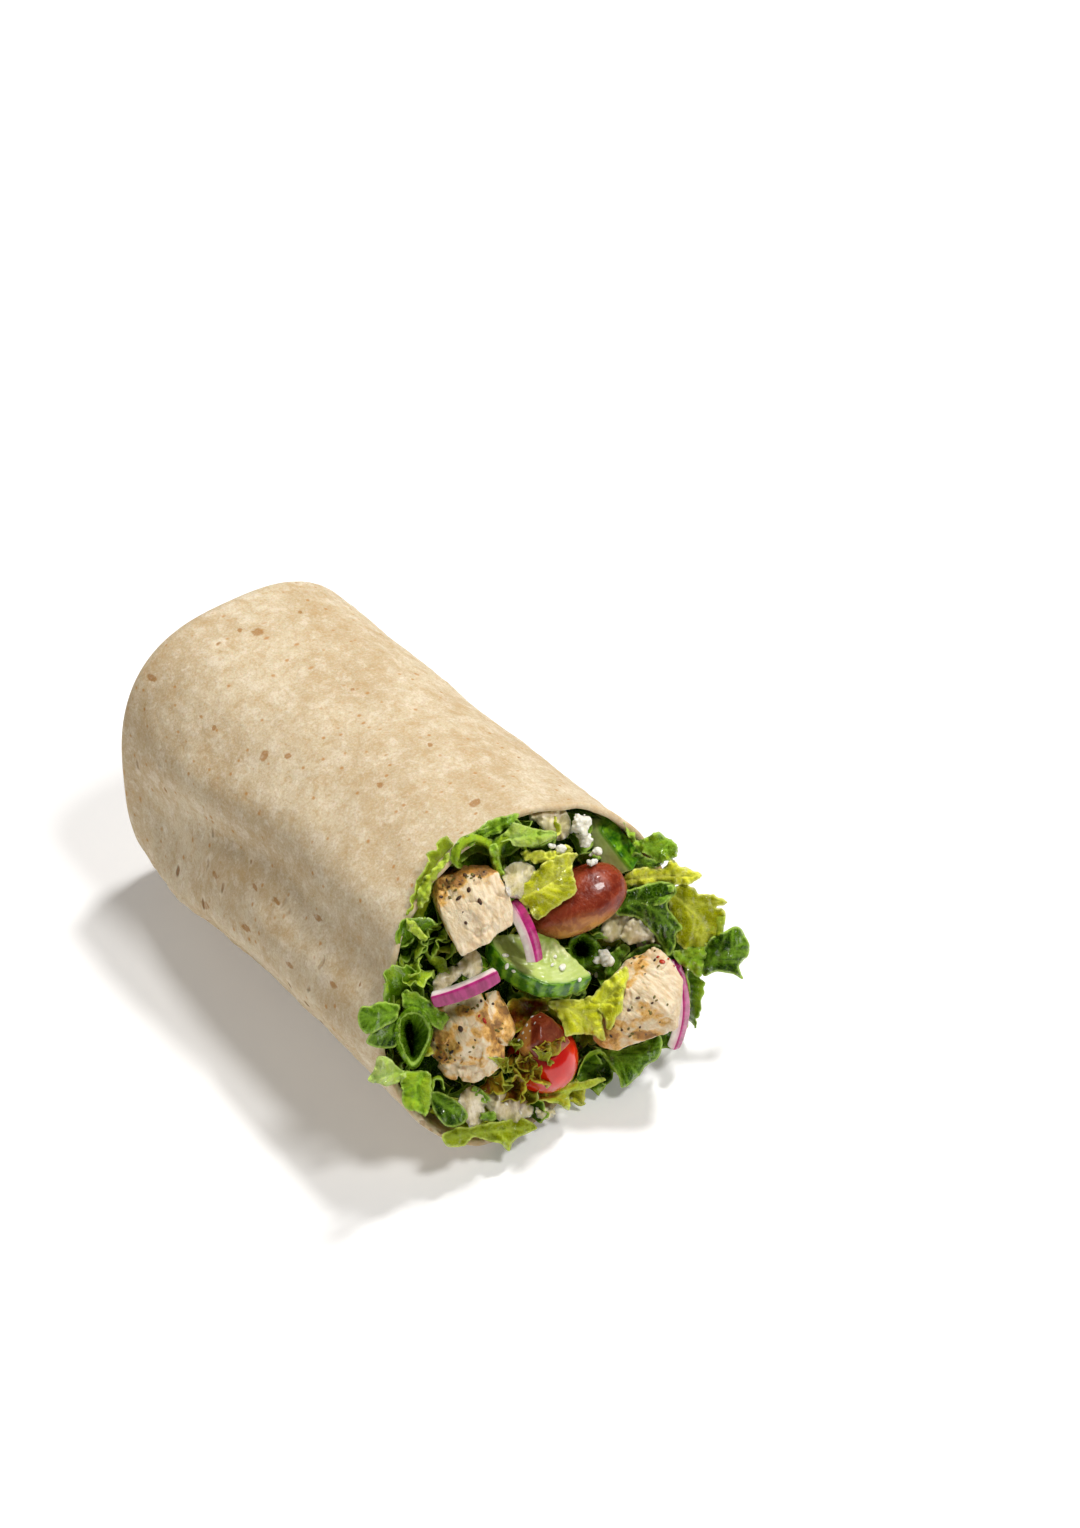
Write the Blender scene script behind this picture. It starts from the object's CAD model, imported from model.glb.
"""Looks of the cut wrap half: bread, leaves, chicken, olives, tomato, cucumber, onion
and crumbs of cheese, with the floor, the lights and the camera.

Pieces in the cut face are placed by where they are seen in the 1080 x 1528 picture and
by how far they stand out of the cut's plane, w, in mm.
"""
import math

import bmesh
import bpy
import numpy as np
from mathutils import Matrix, Vector, geometry, noise
from mathutils.bvhtree import BVHTree


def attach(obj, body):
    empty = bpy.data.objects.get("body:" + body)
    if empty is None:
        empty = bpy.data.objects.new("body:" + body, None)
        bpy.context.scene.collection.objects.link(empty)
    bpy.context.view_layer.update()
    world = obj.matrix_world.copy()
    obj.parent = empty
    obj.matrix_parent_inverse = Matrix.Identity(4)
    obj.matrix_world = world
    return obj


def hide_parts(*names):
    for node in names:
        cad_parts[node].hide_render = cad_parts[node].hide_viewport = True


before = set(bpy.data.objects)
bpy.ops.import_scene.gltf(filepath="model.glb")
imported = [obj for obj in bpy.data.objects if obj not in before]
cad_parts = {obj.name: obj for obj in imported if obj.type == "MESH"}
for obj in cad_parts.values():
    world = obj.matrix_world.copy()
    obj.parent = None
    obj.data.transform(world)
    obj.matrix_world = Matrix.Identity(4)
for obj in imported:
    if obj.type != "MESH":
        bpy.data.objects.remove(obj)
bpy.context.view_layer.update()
MM = 0.001
TAU = 2 * math.pi
rng = np.random.default_rng(11)

# ------------------------------------------------------------------ the roll
LENGTH, X_END = 0.1250, -0.0620
END_WIDTH, CUT_WIDTH = 0.0722, 0.0864
END_HEIGHT, CUT_HEIGHT = 0.0792, 0.0806
END_SQUARE, CUT_SQUARE = 2.75, 2.12
END_ROUND = 0.0070
CUT_LEAN = math.radians(14.4)
SAG = 0.0022
SHEET = 0.0017
SEAM = math.radians(-38)
LAP = math.radians(52)

# ---------------------------------------------------------------- the camera
LOOK_AROUND, LOOK_DOWN = math.radians(51.77), math.radians(40)
TARGET = np.array([0.0034, 0.0502, 0.0400])
DISTANCE = 0.9154
LENS, SENSOR, WIDE, HIGH = 85.0, 36.0, 1080, 1528
FOCAL = LENS / SENSOR * HIGH
E_RIGHT = np.array([math.cos(LOOK_AROUND), math.sin(LOOK_AROUND), 0.0])
_ahead = np.array([-math.sin(LOOK_AROUND), math.cos(LOOK_AROUND), 0.0])
_up = np.array([0.0, 0.0, 1.0])
E_IN = _ahead * math.cos(LOOK_DOWN) - _up * math.sin(LOOK_DOWN)
E_UP = _ahead * math.sin(LOOK_DOWN) + _up * math.cos(LOOK_DOWN)
E_OUT = -E_IN
EYE = TARGET - E_IN * DISTANCE

CUT_C = np.array([X_END + LENGTH, 0.0, CUT_HEIGHT / 2])
C_U = np.array([0.0, 1.0, 0.0])
C_V = np.array([-math.sin(CUT_LEAN), 0.0, math.cos(CUT_LEAN)])
C_W = np.array([math.cos(CUT_LEAN), 0.0, math.sin(CUT_LEAN)])


def at(px, py, w):
    """Where the line of sight through a picture point meets the plane that
    lies w mm out of the cut. Takes arrays."""
    px, py, w = np.broadcast_arrays(np.asarray(px, float), np.asarray(py, float),
                                    np.asarray(w, float))
    d = (E_IN + np.multiply.outer((px - WIDE / 2) / FOCAL, E_RIGHT)
         + np.multiply.outer((HIGH / 2 - py) / FOCAL, E_UP))
    base = (CUT_C - EYE) @ C_W
    k = (base + w * MM) / (d @ C_W)
    return EYE + d * k[..., None]


def eye_dir(v):
    d = E_RIGHT * v[0] + E_UP * v[1] + E_OUT * v[2]
    return d / np.linalg.norm(d)


# ------------------------------------------------------------- mesh and nodes
def make(name, verts, faces, mat, attrs=None, smooth=True):
    me = bpy.data.meshes.new(name)
    me.from_pydata([tuple(v) for v in np.asarray(verts, float)], [],
                   [tuple(int(i) for i in f) for f in faces])
    me.validate()
    for key, val in (attrs or {}).items():
        val = np.asarray(val, float)
        if val.ndim == 1:
            a = me.attributes.new(key, "FLOAT", "POINT")
            a.data.foreach_set("value", val)
        elif val.shape[1] == 3:
            a = me.attributes.new(key, "FLOAT_VECTOR", "POINT")
            a.data.foreach_set("vector", val.ravel())
        else:
            a = me.attributes.new(key, "FLOAT_COLOR", "POINT")
            a.data.foreach_set("color", val.ravel())
    if smooth:
        me.shade_smooth()
    ob = bpy.data.objects.new(name, me)
    bpy.context.scene.collection.objects.link(ob)
    for m in (mat if isinstance(mat, (list, tuple)) else [mat]):
        me.materials.append(m)
    return ob


def grid_faces(rows, cols, wrap=True, start=0):
    out = []
    for i in range(rows - 1):
        a, b = start + i * cols, start + (i + 1) * cols
        for j in range(cols if wrap else cols - 1):
            n = (j + 1) % cols
            out.append((a + j, a + n, b + n, b + j))
    return out


def point_outwards(ob):
    me = ob.data
    bm = bmesh.new()
    bm.from_mesh(me)
    bmesh.ops.recalc_face_normals(bm, faces=bm.faces)
    if bm.calc_volume(signed=True) < 0:
        bmesh.ops.reverse_faces(bm, faces=bm.faces)
    bm.to_mesh(me)
    bm.free()


def nz(points, scale, seed=0.0):
    """Smooth noise, about -1 to 1, at points in metres; scale is per metre."""
    off = Vector((seed * 7.31, seed * 3.17 + 5.0, -seed * 1.93))
    return np.array([noise.noise(Vector(p) * scale + off) for p in points])


def smooth01(t):
    t = np.clip(t, 0.0, 1.0)
    return t * t * (3 - 2 * t)


class Mat:
    """A node material, with short ways to add its nodes."""

    def __init__(self, name):
        self.m = bpy.data.materials.new(name)
        self.m.use_nodes = True
        self.t = self.m.node_tree
        self.b = self.t.nodes["Principled BSDF"]

    def set(self, **vals):
        for k, v in vals.items():
            self.put(self.b.inputs[k.replace("_", " ")], v)
        return self

    def put(self, sock, v):
        if isinstance(v, bpy.types.NodeSocket):
            self.t.links.new(v, sock)
        elif isinstance(v, (tuple, list)) and len(v) == 3 and sock.type == "RGBA":
            sock.default_value = (*v, 1.0)
        else:
            sock.default_value = v

    def node(self, kind, ins=None, **props):
        n = self.t.nodes.new(kind)
        for k, v in props.items():
            setattr(n, k, v)
        for k, v in (ins or {}).items():
            self.put(n.inputs[k], v)
        return n

    def attr(self, name, out="Fac"):
        return self.node("ShaderNodeAttribute", attribute_name=name).outputs[out]

    def coords(self, out="Object"):
        return self.node("ShaderNodeTexCoord").outputs[out]

    def scaled(self, vec, scale, rot=(0, 0, 0)):
        return self.node("ShaderNodeMapping", {"Vector": vec, "Scale": scale,
                                               "Rotation": rot}).outputs["Vector"]

    def noise(self, vec, scale, detail=3.0, rough=0.5, distort=0.0, out="Fac"):
        n = self.node("ShaderNodeTexNoise", {"Vector": vec, "Scale": scale,
                                             "Detail": detail, "Roughness": rough,
                                             "Distortion": distort})
        return n.outputs[out]

    def cells(self, vec, scale, feature="F1", out="Distance", random=1.0):
        n = self.node("ShaderNodeTexVoronoi", {"Vector": vec, "Scale": scale,
                                               "Randomness": random}, feature=feature)
        return n.outputs[out]

    def math(self, op, a, b=0.0, c=0.0, clamp=False):
        n = self.node("ShaderNodeMath", {0: a, 1: b, 2: c}, operation=op)
        n.use_clamp = clamp
        return n.outputs[0]

    def step(self, v, lo, hi, to_lo=0.0, to_hi=1.0):
        n = self.node("ShaderNodeMapRange", {"Value": v, "From Min": lo,
                                             "From Max": hi, "To Min": to_lo,
                                             "To Max": to_hi})
        n.interpolation_type = "SMOOTHSTEP"
        n.clamp = True
        return n.outputs["Result"]

    def mix(self, f, a, b, blend="MIX"):
        n = self.node("ShaderNodeMix", data_type="RGBA", blend_type=blend)
        self.put(n.inputs[0], f)
        self.put(n.inputs[6], a)
        self.put(n.inputs[7], b)
        return n.outputs[2]

    def bump(self, height, strength, distance, normal=None):
        ins = {"Height": height, "Strength": strength, "Distance": distance}
        if normal is not None:
            ins["Normal"] = normal
        return self.node("ShaderNodeBump", ins).outputs["Normal"]


def srgb(r, g, b):
    """Linear colour from the 0 to 255 values that one reads off a screen."""
    def f(c):
        c = c / 255
        return c / 12.92 if c <= 0.04045 else ((c + 0.055) / 1.055) ** 2.4
    return (f(r), f(g), f(b))


# ------------------------------------------------------------------ the bread
def spow(a, p):
    return np.sign(a) * np.abs(a) ** p


def away(angle, centre):
    return np.mod(angle - math.radians(centre) + math.pi, TAU) - math.pi


def rim_shift(angle):
    return (-0.0050 * np.exp(-((away(angle, -72) / 0.60) ** 2))
            + 0.0006 * np.sin(3 * angle + 0.5)
            + 0.00035 * np.sin(11 * angle + 1.0) + 0.00025 * np.sin(23 * angle))


def section(s, angle, inset, out=0.0, low=0.0):
    k = np.clip(s / LENGTH, 0, 1)
    square = END_SQUARE + (CUT_SQUARE - END_SQUARE) * np.minimum(1.0, 1.5 * k)
    a = (END_WIDTH + (CUT_WIDTH - END_WIDTH) * k) / 2
    b = (END_HEIGHT + (CUT_HEIGHT - END_HEIGHT) * k) / 2
    y = (a - inset) * spow(np.cos(angle), 2 / square)
    z = b + (b - inset + SAG / 2) * spow(np.sin(angle), 2 / square) - SAG / 2
    lean = (z - b) * math.tan(CUT_LEAN)
    x = X_END + s - lean * k ** 3 + rim_shift(angle) * k ** 3 + out
    z = np.maximum(z, low)
    return np.stack(np.broadcast_arrays(x, y, z), -1)


def turn(angle, wob=0.0):
    return np.mod(angle - SEAM - wob, TAU) / TAU


def soft_turn(angle, wob=0.0):
    """turn, but its step at the seam is a short slope."""
    t = turn(angle, wob)
    w = 0.0036
    return np.where(t > 1 - w, (1 - w) * (1 - smooth01((t - (1 - w)) / w)), t)


def outer_inset(angle, wob=0.0):
    return SHEET * (soft_turn(angle, wob) - 0.5)


def wall(angle, wob=0.0):
    t = turn(angle, wob) * TAU
    on = smooth01(t / 0.02) * (1 - smooth01((t - LAP) / 0.03))
    return SHEET * (1 + on)


def bread():
    cols = 330
    ang = np.linspace(0, TAU, cols, endpoint=False)
    rings, sheet, end = [], [], []

    def add(p, s_flat, cap=0.0):
        rings.append(p)
        mean = np.hypot(p[:, 1], p[:, 2] - 0.04)
        arc = np.mod(ang - SEAM, TAU) * 0.0425
        sheet.append(np.stack([np.broadcast_to(s_flat, arc.shape), arc,
                               mean * 0.0], -1))
        end.append(np.full(cols, cap))

    # the folded end: flaps that wind into the middle, a little hollow
    n_cap = 46
    for i in range(n_cap):
        share = (i + 0.6) / n_cap
        edge = section(np.full_like(ang, END_ROUND), ang, outer_inset(ang) + END_ROUND)
        mid = edge.mean(0)
        p = mid + (edge - mid) * share
        wind = (share + 0.115 * np.mod(ang - SEAM, TAU) / TAU * 3.0)
        ply = np.mod(wind, 0.345) / 0.345
        ply_step = 0.0011 * smooth01(ply / 0.16) * (1 - smooth01((ply - 0.80) / 0.20))
        dish = 0.0042 * (1 - share) ** 1.6 - 0.0006
        pleat = 0.0009 * np.sin(7 * ang + 3.2 * share + 1.5 * np.sin(2 * ang)) \
            * smooth01(share / 0.2) * (1 - smooth01((share - 0.55) / 0.45))
        p[:, 0] = X_END + dish - ply_step * (1 - smooth01((share - 0.86) / 0.14)) + pleat
        add(p, -0.035 + 0.035 * share, 1.0)
    for i in range(1, 9):
        q = i / 8 * math.pi / 2
        s = END_ROUND * (1 - math.cos(q))
        add(section(np.full_like(ang, s), ang,
                    outer_inset(ang) + END_ROUND * (1 - math.sin(q))),
            s, 1.0 - i / 8)
    rows = 205
    for i in range(1, rows + 1):
        s = END_ROUND + (LENGTH - 0.0004 - END_ROUND) * i / rows
        wob = 0.035 * math.sin(s * 55) + 0.018 * math.sin(s * 160 + 1)
        add(section(np.full_like(ang, s), ang, outer_inset(ang, wob)), s)
    body_from, body_to = n_cap + 8, len(rings)
    # the cut edge, its corners a little rounded
    for f in (0.12, 0.5, 0.88):
        q = outer_inset(ang) * (1 - f) + (outer_inset(ang) + wall(ang)) * f
        add(section(np.full_like(ang, LENGTH), ang, q,
                    out=0.00012 * math.sin(math.pi * f), low=f * wall(ang)), LENGTH + f * SHEET)
    for k in (0.998, 0.985, 0.97, 0.95, 0.93, 0.90, 0.87, 0.84, 0.8, 0.74, 0.68,
              0.6, 0.5, 0.4, 0.3, 0.2, 0.14):
        add(section(np.full_like(ang, k * LENGTH), ang,
                    outer_inset(ang) + wall(ang), low=wall(ang)), 0.27 - k * LENGTH)
    for share in (0.94, 0.7, 0.4, 0.12):
        edge = section(np.full_like(ang, 0.011), ang, outer_inset(ang) + wall(ang) + 0.004,
                       low=0.005)
        mid = edge.mean(0)
        p = mid + (edge - mid) * share
        p[:, 0] = X_END + 0.0078 + 0.002 * share
        add(p, 0.25)
    P = np.stack(rings)
    # soft dents, swellings and creases of a thin sheet over a loose filling
    body = P[n_cap:]
    s_of = (body[..., 0] - X_END)
    A = np.broadcast_to(ang, s_of.shape)
    ctr = np.array([0, 0, 0.04])
    out = body - ctr
    out[..., 0] = 0
    out /= np.linalg.norm(out, axis=-1, keepdims=True) + 1e-9
    flat = body.reshape(-1, 3)
    big = nz(flat, 42, 1).reshape(s_of.shape)
    mid_ = nz(flat, 105, 2).reshape(s_of.shape)
    kx = smooth01(s_of / 0.02) * (1 - 0.75 * smooth01((s_of - 0.112) / 0.013))
    rel = 0.0010 * big + 0.00042 * mid_
    # a long shallow hollow low on the near side, with a swelling under it
    line = 176 - 260 * np.clip(s_of - 0.02, 0, 1) + 4 * np.sin(s_of * 60 + 0.6)
    off_line = away(A - np.radians(line - 180), 180)
    rel += -0.0034 * np.exp(-((off_line / 0.185) ** 2)) \
        * smooth01(s_of / 0.03)
    rel += 0.0030 * np.exp(-(((off_line - 0.42) / 0.22) ** 2)) * smooth01(s_of / 0.03)
    rel += 0.0011 * np.exp(-(((off_line + 0.36) / 0.20) ** 2)) * smooth01(s_of / 0.03)
    rel += -0.0008 * np.exp(-((away(A, 20) / 0.25) ** 2))
    # stretched creases round the belly of the roll, finest low on the flank
    fl = np.stack([s_of, A * 0.042, 0 * A], -1).reshape(-1, 3) * np.array([1.0, 0.33, 1.0])
    crease = nz(fl, 420, 3).reshape(s_of.shape)
    rel += 0.00030 * crease * (0.35 + np.exp(-((away(A, 200) / 0.7) ** 2)))
    blister = nz(flat, 300, 4).reshape(s_of.shape)
    rel += 0.00022 * np.clip(blister - 0.12, 0, 1)
    bottom = smooth01((body[..., 2] - 0.0002) / 0.004)
    body += out * (rel * kx * bottom)[..., None]
    body[..., 2] = np.maximum(body[..., 2], 0.0)
    P[n_cap:] = body
    verts = P.reshape(-1, 3)
    faces = grid_faces(len(rings), cols)
    n = len(verts)
    first, last = P[0].mean(0), P[-1].mean(0)
    first[0] -= 0.0004
    verts = np.vstack([verts, first, last])
    faces += [(n, (j + 1) % cols, j) for j in range(cols)]
    base = (len(rings) - 1) * cols
    faces += [(base + j, base + (j + 1) % cols, n + 1) for j in range(cols)]
    sh = np.vstack([np.stack(sheet).reshape(-1, 3), [[-0.035, 0, 0], [0.25, 0, 0]]])
    sh[:n, 2] = 0.0
    en = np.concatenate([np.stack(end).ravel(), [1, 0]])
    px, py, _ = pixel_of(verts)
    seen = (verts[:, 2] > 0.02) & (np.arange(n + 2) < body_to * cols)
    toast = np.zeros(n + 2)
    for x, y, rx, ry, tilt in ((258, 632, 7, 4, 0), (240, 630, 3, 2.4, 0), (264, 756, 4, 7, .5),
                               (288, 756, 4, 3, 0), (152, 678, 6, 3.5, .5), (475, 803, 7, 4, -.3),
                               (380, 785, 4, 3, 0), (430, 745, 3, 2.4, 0), (214, 728, 2.4, 3, 0),
                               (352, 690, 2.6, 2, 0), (300, 612, 2.6, 2, 0), (205, 905, 6, 3, .7),
                               (246, 928, 7, 2.6, .7), (276, 901, 7, 2.6, .7), (318, 918, 6, 2.6, .7),
                               (255, 887, 6, 2.4, .7), (215, 875, 6, 2.6, .7), (333, 985, 6, 2.6, .7),
                               (290, 965, 6, 2.4, .7), (366, 1010, 5, 2.4, .7)):
        c_, s_ = math.cos(tilt), math.sin(tilt)
        dx, dy = px - x, py - y
        q = ((dx * c_ + dy * s_) / rx) ** 2 + ((-dx * s_ + dy * c_) / ry) ** 2
        toast = np.maximum(toast, np.exp(-q ** 1.3) * seen)
    face_in = np.zeros(n + 2)
    face_in[body_to * cols:] = 1.0
    face_in[body_to * cols:(body_to + 3) * cols] = 0.5
    ob = make("bread_roll", verts, faces, bread_material(),
              {"sheet": sh, "folded": en, "inside": face_in, "toast": toast})
    point_outwards(ob)
    return ob


def bread_material():
    m = Mat("flatbread")
    obj = m.coords()
    sheet = m.attr("sheet", "Vector")
    inside = m.attr("inside")
    # cloudy colour of a griddled white flour sheet
    c1 = m.noise(obj, 48, 4, 0.55, 0.4)
    c2 = m.noise(obj, 250, 6, 0.66, 0.3)
    fib = m.noise(m.scaled(sheet, (1.0, 0.62, 1.0), (0, 0, 0.35)), 760, 5, 0.68, 0.3)
    col = m.mix(m.step(c1, 0.36, 0.64), srgb(200, 180, 146), srgb(213, 198, 168))
    col = m.mix(m.math("MULTIPLY", m.step(c2, 0.50, 0.64), 0.55), col, srgb(230, 219, 198))
    col = m.mix(m.math("MULTIPLY", m.step(c2, 0.48, 0.34), 0.48), col, srgb(188, 156, 110))
    col = m.mix(m.math("MULTIPLY", m.step(fib, 0.54, 0.68), 0.26), col, srgb(234, 224, 202))
    col = m.mix(m.math("MULTIPLY", m.step(fib, 0.46, 0.34), 0.26), col, srgb(180, 146, 98))
    # toasted spots where blisters met the griddle, few and small
    warp = m.node("ShaderNodeVectorMath", {0: sheet, 1: m.node(
        "ShaderNodeVectorMath", {0: m.noise(sheet, 300, 2, out="Color"), 3: 0.0022},
        operation="SCALE").outputs[0]}, operation="ADD").outputs[0]
    v = m.node("ShaderNodeTexVoronoi", {"Vector": m.scaled(warp, (1.25, 0.85, 1)), "Scale": 88.0,
                                        "Randomness": 1.0})
    chance = m.node("ShaderNodeSeparateColor", {0: v.outputs["Color"]})
    rare = m.step(chance.outputs[0], 0.50, 0.56)
    size = m.math("MULTIPLY_ADD", chance.outputs[1], 0.07, 0.05)
    dist = m.math("DIVIDE", v.outputs["Distance"], size)
    spot = m.math("MULTIPLY", m.step(dist, 1.0, 0.45), rare)
    halo = m.math("MULTIPLY", m.step(dist, 2.3, 1.0), rare)
    toast = m.math("MULTIPLY_ADD", m.noise(obj, 900, 4, 0.6), 0.7, m.math("MULTIPLY_ADD", m.attr("toast"), 1.0, -0.35))
    col = m.mix(m.math("MULTIPLY", halo, 0.35), col, srgb(246, 236, 214))
    col = m.mix(m.math("MULTIPLY", spot, 0.76), col, srgb(166, 118, 54))
    core = m.math("MULTIPLY", m.step(dist, 0.72, 0.20), rare)
    col = m.mix(m.math("MULTIPLY", core, 0.45), col, srgb(122, 78, 26))
    col = m.mix(m.math("MULTIPLY", m.step(toast, 0.30, 0.62), 0.75), col, srgb(158, 106, 38))
    v4 = m.node("ShaderNodeTexVoronoi", {"Vector": warp, "Scale": 400.0, "Randomness": 1.0})
    ch4 = m.node("ShaderNodeSeparateColor", {0: v4.outputs["Color"]})
    pale = m.math("MULTIPLY", m.step(v4.outputs["Distance"], 0.42, 0.16), m.step(ch4.outputs[0], 0.52, 0.62))
    col = m.mix(m.math("MULTIPLY", pale, m.step(c1, 0.38, 0.60, 0.10, 0.34)), col, srgb(236, 227, 208))
    grain = m.noise(obj, 1700, 4, 0.7)
    col = m.mix(m.math("MULTIPLY", m.step(grain, 0.52, 0.40), 0.32), col, srgb(184, 150, 104))
    col = m.mix(m.math("MULTIPLY", m.step(grain, 0.54, 0.66), 0.22), col, srgb(242, 232, 212))
    # fine orange-brown specks
    v2 = m.node("ShaderNodeTexVoronoi", {"Vector": sheet, "Scale": 330.0, "Randomness": 1.0})
    ch2 = m.node("ShaderNodeSeparateColor", {0: v2.outputs["Color"]})
    fine = m.math("MULTIPLY", m.step(v2.outputs["Distance"], 0.24, 0.08),
                  m.step(ch2.outputs[0], 0.55, 0.62))
    col = m.mix(m.math("MULTIPLY", fine, 0.72), col, srgb(182, 126, 56))
    # pores, pulled long on the flank
    v3 = m.node("ShaderNodeTexVoronoi", {"Vector": m.scaled(warp, (1.0, 0.46, 1.0), (0, 0, 0.30)),
                                         "Scale": 250.0, "Randomness": 1.0})
    ch3 = m.node("ShaderNodeSeparateColor", {0: v3.outputs["Color"]})
    sep = m.node("ShaderNodeSeparateXYZ", {0: sheet})
    flank = m.step(m.math("ABSOLUTE", m.math("SUBTRACT", sep.outputs["Y"], 0.176)), 0.040, 0.006)
    pore = m.math("MULTIPLY", m.math("MULTIPLY", m.step(v3.outputs["Distance"], 0.21, 0.09),
                                     m.step(ch3.outputs[0], 0.50, 0.56)), flank)
    rim = m.math("MULTIPLY", m.math("MULTIPLY", m.step(v3.outputs["Distance"], 0.40, 0.20),
                                    m.step(ch3.outputs[0], 0.50, 0.56)), flank)
    col = m.mix(m.math("MULTIPLY", rim, 0.34), col, srgb(236, 224, 198))
    col = m.mix(m.math("MULTIPLY", pore, 0.85), col, srgb(140, 98, 50))
    col = m.mix(inside, col, m.mix(m.step(c2, 0.4, 0.6), srgb(214, 186, 142), srgb(230, 210, 172)))
    m.set(Base_Color=col, Roughness=m.step(c2, 0.3, 0.7, 0.84, 0.70))
    m.set(Subsurface_Weight=0.16, Subsurface_Radius=(0.0026, 0.0013, 0.0006),
          Subsurface_Scale=1.0, Specular_IOR_Level=0.12)
    h = m.math("MULTIPLY_ADD", fib, 0.55, m.math("MULTIPLY", c2, 0.5))
    h = m.math("MULTIPLY_ADD", m.noise(obj, 1500, 3, 0.6), 0.18, h)
    h = m.math("SUBTRACT", h, m.math("MULTIPLY", pore, 1.1))
    h = m.math("SUBTRACT", h, m.math("MULTIPLY", spot, 0.30))
    m.set(Normal=m.bump(h, 0.8, 0.00060))
    return m.m


# ------------------------------------------------------------------ leaf sheets
def spline(points, count, closed=False):
    """count points evenly along a smooth curve through the given ones."""
    p = np.asarray(points, float)
    if closed:
        p = np.vstack([p[-1], p, p[:2]])
    else:
        p = np.vstack([2 * p[0] - p[1], p, 2 * p[-1] - p[-2]])
    fine = []
    for i in range(1, len(p) - 2):
        t = np.linspace(0, 1, 14, endpoint=False)[:, None]
        a, b, c, d = p[i - 1:i + 3]
        fine.append(0.5 * (2 * b + (c - a) * t + (2 * a - 5 * b + 4 * c - d) * t ** 2
                           + (3 * b - a - 3 * c + d) * t ** 3))
    fine.append(p[-2][None])
    f = np.vstack(fine)
    step = np.r_[0, np.cumsum(np.linalg.norm(np.diff(f, axis=0), axis=1) + 1e-9)]
    want = np.linspace(0, step[-1], count, endpoint=not closed)
    return np.stack([np.interp(want, step, f[:, k]) for k in range(f.shape[1])], -1)


def near_line(q, line):
    """Distance of each point in q to an open polyline, all in 2-D, with how far
    along it the nearest place lies."""
    best = np.full(len(q), 1e9)
    along = np.zeros(len(q))
    run = 0.0
    for a, b in zip(line[:-1], line[1:]):
        ab = b - a
        size = math.hypot(*ab) + 1e-9
        t = np.clip(((q - a) @ ab) / size ** 2, 0, 1)
        d = np.hypot(*(q - a - t[:, None] * ab).T)
        near = d < best
        best = np.where(near, d, best)
        along = np.where(near, run + t * size, along)
        run += size
    return best, along / run


def inside_of(q, ring):
    res = np.zeros(len(q), bool)
    x, y = q[:, 0], q[:, 1]
    for (x0, y0), (x1, y1) in zip(ring, np.roll(ring, -1, axis=0)):
        hit = (y0 > y) != (y1 > y)
        cross = (x1 - x0) * (y - y0) / (y1 - y0 + 1e-12) + x0
        res ^= hit & (x < cross)
    return res


class Sheets:
    """Collects thin closed leaves into one mesh."""

    def __init__(self, glassy=None):
        self.glassy = glassy
        self.last = self
        self.v, self.f, self.leaf, self.tint, self.marks, self.n = [], [], [], [], [], 0

    def add(self, P, faces, flat, tint, marks, thick=0.40, face_eye=True):
        if self.glassy is not None and np.asarray(tint)[:, 2].mean() > 0.7:
            self.glassy.add(P, faces, flat, tint, marks, thick, face_eye)
            self.last = self.glassy
            return
        self.last = self
        P = np.asarray(P, float)
        faces = [tuple(f) for f in faces]
        nrm = np.zeros_like(P)
        for k in (3, 4):
            F = np.array([f for f in faces if len(f) == k])
            if len(F):
                n = np.cross(P[F[:, 1]] - P[F[:, 0]], P[F[:, k - 1]] - P[F[:, 0]])
                for c in range(k):
                    np.add.at(nrm, F[:, c], n)
        if face_eye and (nrm @ (C_W * 0.5 + E_OUT)).sum() < 0:
            nrm = -nrm
            faces = [f[::-1] for f in faces]
        nrm /= np.linalg.norm(nrm, axis=1, keepdims=True) + 1e-12
        edges = {}
        for f in faces:
            for a, b in zip(f, f[1:] + f[:1]):
                edges[(a, b)] = 1
        rim = [(a, b) for (a, b) in edges if (b, a) not in edges]
        onrim = np.zeros(len(P), bool)
        for a, b in rim:
            onrim[a] = True
        th = np.where(onrim, 0.25, 1.0) * (thick if np.isscalar(thick) else np.asarray(thick))
        back = P - nrm * (th * MM)[:, None]
        m, s = len(P), self.n
        allf = [tuple(i + s for i in f) for f in faces]
        allf += [tuple(i + s + m for i in f[::-1]) for f in faces]
        allf += [(a + s, a + s + m, b + s + m, b + s) for a, b in rim]
        self.v += [P, back]
        self.f += allf
        self.leaf += [flat, flat]
        self.tint += [tint, tint]
        mb = np.array(marks, float)
        self.marks += [marks, mb]
        self.n += 2 * m

    def build(self, name, mat):
        v = np.vstack(self.v)
        v[:, 2] = np.maximum(v[:, 2], 0.0003)
        return make(name, v, self.f, mat, {"leaf": np.vstack(self.leaf),
                                           "tint": np.vstack(self.tint),
                                           "marks": np.vstack(self.marks)})


PX = 4.2      # picture points to a mm in the cut


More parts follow.
